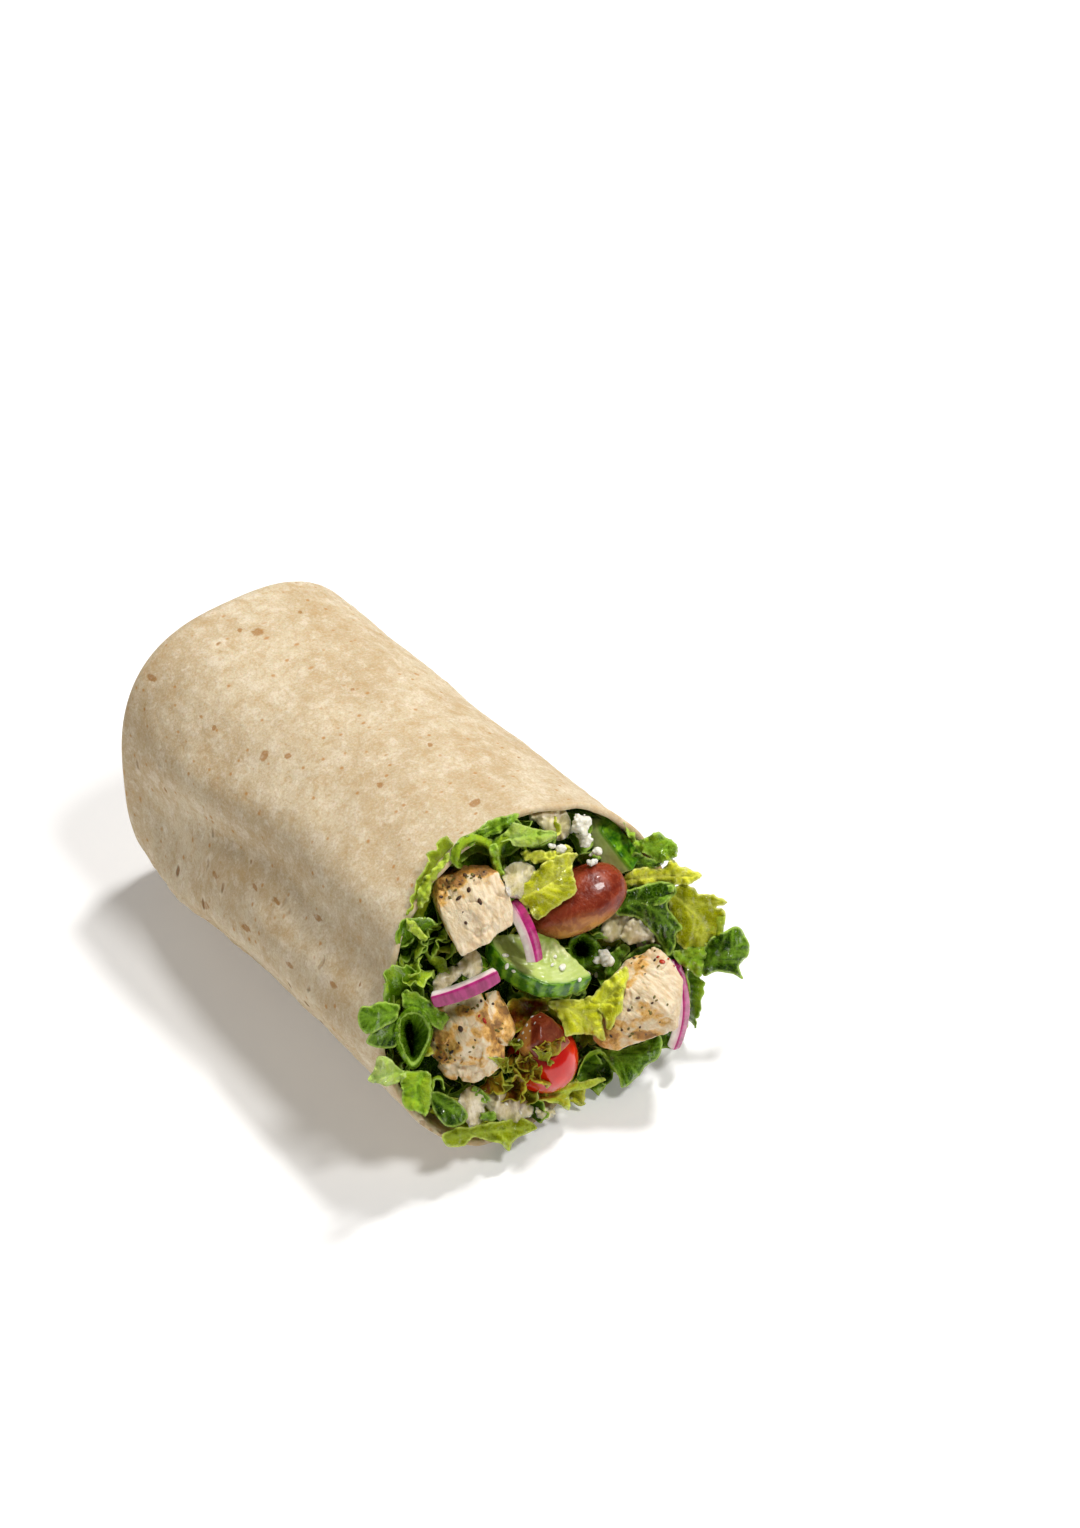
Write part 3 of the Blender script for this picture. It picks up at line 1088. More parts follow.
def cucumber_material():
    m = Mat("cucumber")
    loc = m.attr("at", "Vector")
    rad = m.attr("rad")
    seed = m.attr("seed")
    n1 = m.noise(loc, 260, 4, 0.6)
    n2 = m.noise(loc, 1500, 3, 0.6)
    stripe = m.attr("stripe")
    flesh = m.mix(m.step(rad, 0.30, 0.80), srgb(144, 168, 70), srgb(184, 202, 114))
    flesh = m.mix(m.math("MULTIPLY", m.step(n1, 0.4, 0.65), 0.4), flesh, srgb(210, 224, 156))
    flesh = m.mix(m.step(rad, 0.84, 0.925), flesh, srgb(120, 170, 52))
    flesh = m.mix(m.math("MULTIPLY", seed, 0.55), flesh, srgb(226, 226, 176))
    rind = m.mix(m.step(m.math("MULTIPLY_ADD", m.noise(loc, 900, 3, 0.6), 0.9, m.math("MULTIPLY", stripe, 0.42)), 0.50, 0.98), srgb(40, 100, 0), srgb(122, 176, 26))
    rind = m.mix(m.math("MULTIPLY", m.step(n2, 0.55, 0.7), 0.30), rind, srgb(118, 168, 66))
    col = m.mix(m.step(rad, 0.935, 0.955), flesh, rind)
    m.set(Base_Color=col, Roughness=m.step(n1, 0.3, 0.7, 0.16, 0.34))
    m.set(Subsurface_Weight=0.28, Subsurface_Radius=(0.0016, 0.0018, 0.0007),
          Subsurface_Scale=1.0, Specular_IOR_Level=0.34, Coat_Weight=0.20, Coat_Roughness=0.08)
    m.set(Normal=m.bump(m.math("MULTIPLY_ADD", n2, 0.35, n1), 0.35, 0.0003))
    return m.m


def cucumber(name, apex, z, x, radius, thick, lo, hi, mat, seed=1):
    """A sector of a slice, its tip at apex and its rind round the arc."""
    nr, na, nt = ((52, 96, 13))
    r = np.sin(np.linspace(0, math.pi / 2, nr)) * radius
    a = np.radians(np.linspace(lo, hi, na))
    bevel = 0.35
    sides, polys, base = [], [], 0
    verts, rads, stripes, seeds, faces = [], [], [], [], []

    def sheet_(P, R, faces_flip=False):
        nonlocal base
        rows, cols = P.shape[:2]
        verts.append(P.reshape(-1, 3))
        rads.append(R.ravel())
        f = grid_faces(rows, cols, False, base)
        faces.extend([q[::-1] for q in f] if faces_flip else f)
        base += rows * cols

    def pt(rr, aa, zz):
        return np.stack([rr * np.cos(aa), rr * np.sin(aa), zz + 0 * rr], -1)

    wob = 1 + 0.012 * np.sin(7 * a + seed) + 0.008 * np.sin(17 * a)
    cut = []
    for zz, flip in ((thick / 2, False), (-thick / 2, True)):
        Rg, Ag = np.meshgrid(r, a)
        k = Rg / radius
        shrink = np.where(k > 0.97, 1 - 0.02, 1.0)
        P = pt(Rg * wob[:, None] * shrink, Ag, zz)
        # seed chambers sink a little, seeds stand up in them
        ch = np.exp(-((k - 0.42) / 0.16) ** 2)
        sd = np.zeros_like(k)
        for j in range(9):
            ca = math.radians(lo + (hi - lo) * (j + 0.5) / 9)
            cr = radius * (0.40 + 0.07 * math.sin(j * 2.3 + seed))
            dx = Rg * np.cos(Ag - ca) - cr
            dy = Rg * np.sin(Ag - ca)
            sd = np.maximum(sd, np.exp(-((dx / 1.9) ** 2 + (dy / 0.75) ** 2) ** 1.5))
        sign = 1 if zz > 0 else -1
        P[..., 2] += sign * (-0.30 * ch + 0.42 * sd + 0.10 * np.sin(Rg * 3 + Ag * 9) * np.clip(Rg / 1.5, 0, 1))
        P[..., 2] += sign * -0.25 * smooth01((k - 0.95) / 0.05)
        cut.append(P)
        sheet_(P, k * 0.93, flip)
        seeds.append(sd.ravel())
    t = np.linspace(-1, 1, nt)
    Tg, Ag = np.meshgrid(t, a)
    rim = radius * wob[:, None] * (1 - 0.02 * np.abs(Tg) ** 4)
    P = pt(rim * 1.005, Ag, Tg * (thick / 2 - 0.22))
    P[:, -1], P[:, 0] = cut[0][:, -1], cut[1][:, -1]
    skin = P
    sheet_(P, np.full(Tg.shape, 0.99))
    seeds.append(np.zeros(Tg.size))
    for at_, flip in ((0, True), (-1, False)):
        Tg2, Rg2 = np.meshgrid(t, r)
        P = cut[1][at_][:, None] + (cut[0][at_] - cut[1][at_])[:, None] * ((Tg2 + 1) / 2)[..., None]
        P[-1] = skin[at_]
        sheet_(P, Rg2 / radius * 0.96, flip)
        seeds.append(np.zeros(Tg2.size))
    V = np.vstack(verts) * MM
    R = np.concatenate(rads)
    ang = np.arctan2(V[:, 1], V[:, 0])
    strp = 0.5 + 0.5 * np.sin(ang * radius / 1.05 * 1.9 + 0.7 * np.sin(ang * 11 + seed)
                              + 0.5 * np.sin(V[:, 2] * 900))
    ob = make(name, V, faces, mat, {"rad": R, "stripe": strp, "seed": np.concatenate(seeds)})
    bm = bmesh.new()
    bm.from_mesh(ob.data)
    bmesh.ops.remove_doubles(bm, verts=bm.verts, dist=0.00003)
    bmesh.ops.recalc_face_normals(bm, faces=bm.faces)
    bm.to_mesh(ob.data)
    bm.free()
    co, no = coords_of(ob.data)
    put_attr(ob.data, "at", co)
    co = co + no * (0.00012 * nz(co, 700, seed))[:, None]
    put_coords(ob.data, place(co, apex, z, x))
    ob.data.shade_smooth()
    return ob


def cucumber_wedge(name, mat):
    """A thick cut piece: rind up to the right, flesh on its other sides."""
    c = at(614, 842, -2.0)
    A, B, C, D = ((602, 831, 3.2), (609, 816, .6), (642, 852, -1.6), (633, 870, 2.2))
    pts = [A, B, C, D, (589, 815, .2), (597, 811, -.6), (591, 833, 1.6), (592, 850, -.4),
           (603, 866, -.4), (622, 874, .2), (600, 822, -7), (636, 858, -7), (598, 848, -7),
           (620, 866, -7)]
    ob = remeshed(hull([eye_pt(*p, c) for p in pts]), name, 0.00030, 0.0, 2)
    co, no = coords_of(ob.data)
    pa, pb, pc, pd = (eye_pt(*p, c) for p in (A, B, C, D))
    n = np.cross(pc - pa, pb - pd)
    n /= np.linalg.norm(n)
    if n @ E_OUT < 0:
        n = -n
    deep = ((pa + pb + pc + pd) / 4 - co) @ n / MM
    run = (co - pa) @ ((pd - pa) / np.linalg.norm(pd - pa)) / MM
    put_attr(ob.data, "rad", np.clip(0.975 - (deep - 0.10) / 9.0, 0.80, 1))
    put_attr(ob.data, "stripe", 0.6 + 0.3 * np.sin(run * 1.5 + 0.8 * np.sin(run * 0.9)))
    put_attr(ob.data, "seed", 0.45 * np.maximum(smooth01((deep - 1.6) / 1.5), np.exp(-((deep - 6.0) / 1.0) ** 2)
                                         * smooth01(np.sin(run * 2.6))))
    put_attr(ob.data, "at", co)
    co = co + no * ((0.16 * nz(co, 300, 71) + 0.06 * nz(co, 1100, 72)) * MM)[:, None]
    put_coords(ob.data, co)
    ob.data.materials.append(mat)
    return ob


def onion_material():
    m = Mat("red_onion")
    loc = m.attr("at", "Vector")
    skin = m.attr("skin")
    n1 = m.noise(m.scaled(loc, (1, 1, 0.3)), 500, 4, 0.6)
    flesh = m.mix(m.step(n1, 0.35, 0.65), srgb(226, 214, 212), srgb(243, 238, 232))
    flesh = m.mix(m.math("MULTIPLY", m.step(skin, 0.45, 0.84), 0.55), flesh, srgb(224, 156, 190))
    mag = m.mix(m.step(n1, 0.35, 0.65), srgb(146, 16, 90), srgb(188, 44, 128))
    col = m.mix(m.step(skin, 0.80, 0.88), flesh, mag)
    m.set(Base_Color=col, Roughness=0.22, Subsurface_Weight=0.35,
          Subsurface_Radius=(0.0016, 0.0010, 0.0013), Subsurface_Scale=1.0,
          Specular_IOR_Level=0.5, Coat_Weight=0.25, Coat_Roughness=0.08)
    m.set(Normal=m.bump(n1, 0.18, 0.00012))
    return m.m


def onion(name, centre, z, x, radius, span, deep, wide, mat, seed=1):
    """A sliver of one ring; its outer skin faces along x."""
    n = 120
    a = np.radians(np.linspace(-span / 2, span / 2, n))
    prof = []
    k = 14
    hx, hz = deep / 2, wide / 2
    for i in range(4 * k):
        q = TAU * i / (4 * k)
        prof.append((hx * spow(math.cos(q), 0.42), hz * spow(math.sin(q), 0.42)))
    prof = np.array(prof)
    end = np.sin(np.clip((1 - np.abs(np.linspace(-1, 1, n))) / 0.05, 0, 1) * math.pi / 2) * 0.25 + 0.75
    rr = radius + prof[:, 0][None] * end[:, None]
    zz = prof[:, 1][None] * end[:, None] * (1 - 0.16 * np.abs(np.linspace(-1, 1, n))[:, None] ** 3)
    A = a[:, None]
    P = np.stack([rr * np.cos(A) - radius, rr * np.sin(A), zz + 0 * A], -1) * MM
    skin = np.broadcast_to((prof[:, 0] / hx * 0.5 + 0.5)[None], rr.shape)
    verts = P.reshape(-1, 3)
    faces = grid_faces(n, 4 * k)
    m_ = len(verts)
    verts = np.vstack([verts, P[0].mean(0), P[-1].mean(0)])
    faces += [(m_, (j + 1) % (4 * k), j) for j in range(4 * k)]
    base = (n - 1) * 4 * k
    faces += [(base + j, base + (j + 1) % (4 * k), m_ + 1) for j in range(4 * k)]
    sk = np.concatenate([skin.ravel(), [0.5, 0.5]])
    ob = make(name, verts, faces, mat, {"skin": sk})
    point_outwards(ob)
    co, no = coords_of(ob.data)
    put_attr(ob.data, "at", co)
    co = co + no * (0.00010 * nz(co * [1, 0.3, 1], 420, seed))[:, None]
    put_coords(ob.data, place(co, centre, z, x))
    return ob


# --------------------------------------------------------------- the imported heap
def core():
    """The darker mass under the leaves, from the folded end to the cut."""
    cols, rows = ((190, 30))
    ang = np.linspace(0, TAU, cols, endpoint=False)
    gap = 0.0005
    rings = []
    ins = outer_inset(ang) + wall(ang) + gap + 0.0048 * np.exp(-((away(ang, 160) / 0.55) ** 2)) \
        + 0.0012
    low = wall(ang) + gap
    for s in (0.014, 0.02, 0.05, 0.08, 0.10, 0.108, 0.113):
        rings.append(section(np.full_like(ang, s), ang, ins, low=low))
    start = len(rings)
    edge = section(np.full_like(ang, LENGTH - 0.006), ang, ins, low=low)
    mid = CUT_C - C_W * 0.006
    for i in range(rows):
        share = 1 - (i / rows) ** 1.1
        p = mid + (edge - mid) * share
        rings.append(p)
    P = np.stack(rings)
    f = P[start:].reshape(-1, 3)
    lump = nz(f, 130, 31) * 1.6 + nz(f, 330, 32) * 0.9 + np.abs(nz(f, 800, 33)) * 0.7
    P[start:] += (C_W * (lump.reshape(P[start:].shape[:2]) * MM)[..., None])
    P[start + 1:] = tuck(P[start + 1:].reshape(-1, 3)).reshape(P[start + 1:].shape)
    first = P[0].mean(0)
    first[0] = X_END + 0.0112
    verts = np.vstack([P.reshape(-1, 3), first, P[-1].mean(0)])
    n = len(rings) * cols
    faces = grid_faces(len(rings), cols)
    faces += [(n, (j + 1) % cols, j) for j in range(cols)]
    base = (len(rings) - 1) * cols
    faces += [(base + j, base + (j + 1) % cols, n + 1) for j in range(cols)]
    z = np.zeros((len(verts), 3))
    tint = z.copy()
    tint[:, 0] = 0.05
    ob = make("salad_core", verts, faces, LEAF, {"leaf": verts, "tint": tint, "marks": z})
    point_outwards(ob)
    return ob


def trees(objs):
    out = []
    dg = bpy.context.evaluated_depsgraph_get()
    for o in objs:
        out.append(BVHTree.FromObject(o, dg))
    return out


def first_hit(px, py, bvhs):
    d = E_IN + (px - WIDE / 2) / FOCAL * E_RIGHT + (HIGH / 2 - py) / FOCAL * E_UP
    dv = Vector(d).normalized()
    best = None
    for b in bvhs:
        hit = b.ray_cast(Vector(EYE), dv)
        if hit[0] is not None and (best is None or hit[3] < best[3]):
            best = hit
    return best


def pixel_of(P):
    v = P - EYE
    k = v @ E_IN
    return WIDE / 2 + FOCAL * (v @ E_RIGHT) / k, HIGH / 2 - FOCAL * (v @ E_UP) / k, k


def over(into, bvhs, lift=0.35, reach=7.0):
    """Lifts the leaf added last towards the eye where a topping would hide it."""
    into = into.last
    for slot in (-2, -1):
        P = into.v[slot]
        need = np.zeros(len(P))
        gap = lift + (0.35 if slot == -2 else 0.0)
        ray = P - EYE
        dist = np.linalg.norm(ray, axis=1)
        for i, (d, r) in enumerate(zip(dist, ray)):
            dv = Vector(r / d)
            for b in bvhs:
                hit = b.ray_cast(Vector(EYE), dv)
                if hit[0] is not None:
                    n = (d - hit[3]) / MM + gap
                    if n > need[i] and n < 14:
                        need[i] = n
        if need.max() <= 0:
            continue
        # spread the lift so that the leaf slopes down from what carries it
        idx = np.where(need > 0)[0]
        px, py, _ = pixel_of(P)
        q = np.stack([px, py], -1) / PX
        d2 = ((q[:, None] - q[idx][None]) ** 2).sum(-1)
        spread = (need[idx][None] * np.exp(-d2 / (reach * 0.35) ** 2)).max(1)
        up = np.maximum(need, spread * 0.92)
        into.v[slot] = P - ray / dist[:, None] * (up * MM)[:, None]


KEEP = [
    # what the small leaves between must not hide: (outline, deepest w)
    ([(430, 866), (495, 866), (515, 905), (514, 930), (461, 962), (430, 905)], -4.5),
    ([(428, 1006), (475, 984), (500, 986), (518, 1030), (500, 1075), (465, 1087), (440, 1075), (427, 1045)], -5),
    ([(590, 1010), (625, 960), (655, 940), (690, 980), (686, 1036), (610, 1055), (590, 1045)], -3),
    ([(525, 905), (565, 858), (610, 858), (622, 895), (590, 938), (535, 945)], -5),
    ([(476, 948), (545, 932), (592, 975), (588, 1003), (540, 1004), (488, 986)], -5),
    ([(505, 1010), (541, 1005), (585, 1040), (580, 1080), (545, 1100), (505, 1075)], -6),
    ([(585, 808), (612, 808), (648, 852), (634, 875), (590, 855)], -7),
    ([(500, 893), (516, 893), (547, 955), (530, 962), (500, 940)], -3),
    ([(426, 985), (500, 962), (500, 985), (430, 1010)], -2),
    ([(664, 940), (690, 950), (690, 1058), (660, 1040)], -1),
    ([(394, 1010), (408, 1004), (428, 1010), (436, 1040), (415, 1072), (396, 1056)], -13),
    ([(455, 872), (459, 846), (475, 838), (492, 846), (496, 872)], -6),
    ([(498, 872), (500, 842), (512, 834), (526, 838), (528, 866)], -6),
    ([(568, 940), (582, 931), (598, 941), (598, 961), (582, 970), (567, 960)], -13),
    ([(586, 1062), (612, 1062), (614, 1080), (590, 1082)], -8),
    ([(456, 1090), (470, 1084), (500, 1086), (524, 1094), (538, 1106), (532, 1122), (500, 1124),
      (478, 1131), (462, 1124)], 0.2),
]


def tuck(P):
    px, py, _ = pixel_of(P)
    w = (P - CUT_C) @ C_W / MM
    q = np.stack([px, py], -1)
    for ring, deep in KEEP:
        ring = np.array(ring, float)
        ins = inside_of(q, ring)
        if not ins.any():
            continue
        d, _ = near_line(q, np.vstack([ring, ring[:1]]))
        soft = smooth01(d / 10)
        want = np.minimum(w, w + (deep - w) * soft)
        w = np.where(ins, want, w)
    return at(px, py, w)


def contain(P):
    """Draws what would pass through the bread back inside it."""
    u = (P - CUT_C) @ C_U / MM
    v = (P - CUT_C) @ C_V / MM
    w = (P - CUT_C) @ C_W / MM
    a, b = 39.8, 38.6
    k = (np.abs(u / a) ** 2.12 + np.abs(v / b) ** 2.12) ** (1 / 2.12)
    hold = smooth01((3.0 - w) / 1.6)
    f = np.where(k > 1, 1 + (1 / np.maximum(k, 1e-6) - 1) * hold, 1.0)
    return CUT_C + (np.outer(u * f, C_U) + np.outer(v * f, C_V) + np.outer(w, C_W)) * MM


def filler(into, u, v, w0, grow, side_turn, size, tone, yellow, seed, frill=0.9, pale=0.0,
           red=0.0, tucked=True, span=1.05, cup=2.2, fine=(32, 10)):
    """A small leaf that grows out of the heap at (u, v) in the cut, root at w0."""
    root = CUT_C + C_U * u * MM + C_V * v * MM + C_W * w0 * MM
    a = C_U * grow[0] + C_V * grow[1] + C_W * grow[2]
    a /= np.linalg.norm(a)
    ref = C_W if abs(a @ C_W) < 0.9 else C_V
    b = np.cross(a, ref)
    b /= np.linalg.norm(b)
    n = np.cross(a, b)
    b, n = (b * math.cos(side_turn) + n * math.sin(side_turn),
            -b * math.sin(side_turn) + n * math.cos(side_turn))
    rows = []
    for f in (0.10, 0.42, 0.75, 1.0):
        row = []
        for t in np.linspace(-1, 1, 7):
            ph = t * span * (0.55 + 0.45 * f)
            rr = size * f * (1 + 0.10 * math.sin(3 * t + seed))
            bend = cup * math.sin(f * 2.2) * (1 - 0.5 * t * t) + 0.9 * math.sin(4 * t + seed) * f
            row.append(root + (a * rr * math.cos(ph) + b * rr * math.sin(ph) + n * bend) * MM)
        rows.append(row)
    net(into, rows, world=True, tone=tone, tone_end=min(1, tone + 0.22), yellow=yellow, pale=pale,
        red=red, frill=frill, pitch=2.6 + (seed % 5) * 0.3, seed=seed, thick=0.26,
        nu=fine[0], nv=fine[1], wrinkle=0.5)
    if tucked:
        into.v[-2] = contain(tuck(into.v[-2]))
        into.v[-1] = contain(tuck(into.v[-1]))


def heap(into):
    r = np.random.default_rng(5)
    n = 0
    spots = []
    tries = 0
    while len(spots) < (150) and tries < 6000:
        tries += 1
        a = r.uniform(0, TAU)
        k = math.sqrt(r.uniform(0, 1)) * 0.93
        u, v = 40.0 * k * math.cos(a), 38.0 * k * math.sin(a)
        if all((u - x) ** 2 + (v - y) ** 2 > 4.6 ** 2 for x, y in spots):
            spots.append((u, v))
    for i, (u, v) in enumerate(spots):
        k = math.hypot(u / 40, v / 38)
        g = (r.uniform(-1, 1) + 0.9 * u / 40 * (k > .7), r.uniform(-1, 1) + 0.9 * v / 38 * (k > .7),
             r.uniform(0.45, 1.1))
        size = r.uniform(6.5, 10.5) * (0.85 if k > .7 else 1)
        yel = 0.75 if r.random() < 0.14 else 0.0
        filler(into, u, v, r.uniform(-8.0, -5.0), g, r.uniform(-1.2, 1.2), size,
               float(np.clip(r.normal(0.20, 0.16), 0.0, 0.65)), yel, 200 + i,
               frill=r.uniform(0.5, 1.3))


def rim_leaves(into):
    """Leaf tips over the rim where the picture can't show it, as ragged there."""
    r = np.random.default_rng(8)
    k = 0
    for th in (-34, -47, -60, -73, -86, -98, -128, -140, 172, 44, 56, 70, 84, 97, 110, 124, 138):
        a = math.radians(th + r.uniform(-3, 3))
        top = 40 < th < 141
        u, v = 38.0 * math.cos(a), 36.5 * math.sin(a)
        out = (math.cos(a) * (0.35 if top else 0.75), math.sin(a) * (0.30 if top else 0.45), 1.0)
        filler(into, u * .93, v * .93, -7 if top else -5.5, out, r.uniform(-.5, .5) + math.pi / 2,
               r.uniform(7.5, 9.5) if top else r.uniform(8.5, 11.5),
               float(np.clip(r.normal(.38, .15), .1, .8)), 0.7 if r.random() < .2 else 0.0,
               500 + k, frill=1.0, span=1.0, cup=1.2)
        k += 1


def crumb(seed, size, flat=1.0):
    """A ragged crumb about size mm across, as points and faces about its middle."""
    bm = bmesh.new()
    bmesh.ops.create_icosphere(bm, subdivisions=3 if size > 2 else 2, radius=0.5 * size * MM)
    co = np.array([v.co for v in bm.verts])
    d = 1 + 0.30 * nz(co, 900 / size, seed) + 0.16 * nz(co, 2600 / size, seed + 1)
    slim = 0.50 + 0.42 * ((seed * 0.618) % 1)
    co = co * d[:, None] * np.array([1.1, slim, flat])
    f = [[v.index for v in f.verts] for f in bm.faces]
    bm.free()
    return co, f


def crumbs(name, items, mat, bvhs, sink=0.25, attrs=None):
    """items: (px, py, size, flat); each one lies on what is seen there."""
    V, F, L, base = [], [], [], 0
    r = np.random.default_rng(len(items) + 3)
    for i, (px, py, size, flat) in enumerate(items):
        hit = first_hit(px, py, bvhs)
        if hit is None:
            continue
        co, f = crumb(int(31 + i * 7), size, flat)
        n = np.array(hit[1])
        if n @ E_IN > 0:
            n = -n
        ref = np.cross(n, [0.3, 0.5, 0.81])
        ref /= np.linalg.norm(ref)
        ref2 = np.cross(n, ref)
        t = r.uniform(0, TAU)
        A = np.stack([ref * math.cos(t) + ref2 * math.sin(t),
                      -ref * math.sin(t) + ref2 * math.cos(t), n], -1)
        V.append(co @ A.T + np.array(hit[0]) + n * (0.5 - sink) * size * flat * MM)
        F += [[q + base for q in face] for face in f]
        L.append(co + i * 0.011)
        base += len(co)
    return make(name, np.vstack(V), F, mat, {"at": np.vstack(L)})


def feta_block(px, py, w, sx, sy, sz, seed, tilt=0.0):
    """A larger broken lump of cheese, ragged and grainy."""
    c = at(px, py, w)
    r = np.random.default_rng(seed)
    pts = []
    for _ in range(26):
        d = r.normal(size=3)
        d /= np.linalg.norm(d)
        pts.append(c + (E_RIGHT * d[0] * sx + E_UP * d[1] * sy + E_OUT * d[2] * sz) * 0.5 * MM
                   * r.uniform(0.72, 1.0))
    ob = remeshed(hull(pts), "feta_%02d" % seed, 0.00024, 0.0003, 2)
    co, no = coords_of(ob.data)
    co = co + no * ((1.05 * nz(co, 420, seed) + 0.85 * nz(co, 950, seed + 1)
                     + 0.16 * nz(co, 2600, seed + 2)) * MM)[:, None]
    put_coords(ob.data, co)
    put_attr(ob.data, "at", co)
    return ob


def feta_material():
    m = Mat("feta")
    loc = m.attr("at", "Vector")
    n1 = m.noise(loc, 600, 5, 0.65)
    n2 = m.noise(loc, 2600, 3, 0.6)
    col = m.mix(m.step(n1, 0.35, 0.62), srgb(226, 222, 204), srgb(246, 244, 234))
    m.set(Base_Color=col, Roughness=0.55, Subsurface_Weight=0.35,
          Subsurface_Radius=(0.0016, 0.0014, 0.0011), Subsurface_Scale=1.0, Specular_IOR_Level=0.4)
    m.set(Normal=m.bump(m.math("MULTIPLY_ADD", n2, 0.5, n1), 0.7, 0.0004))
    return m.m


def plain(name, rgb, rough=0.5, second=None, scale=900.0):
    m = Mat(name)
    loc = m.attr("at", "Vector")
    col = m.mix(m.step(m.noise(loc, scale, 3), 0.38, 0.62), rgb, second or rgb)
    m.set(Base_Color=col, Roughness=rough)
    return m.m


def join(objs, name):
    bpy.ops.object.select_all(action="DESELECT")
    for o in objs:
        o.select_set(True)
    bpy.context.view_layer.objects.active = objs[0]
    bpy.ops.object.join()
    o = bpy.context.view_layer.objects.active
    o.name = name
    o.data.name = name
    return o


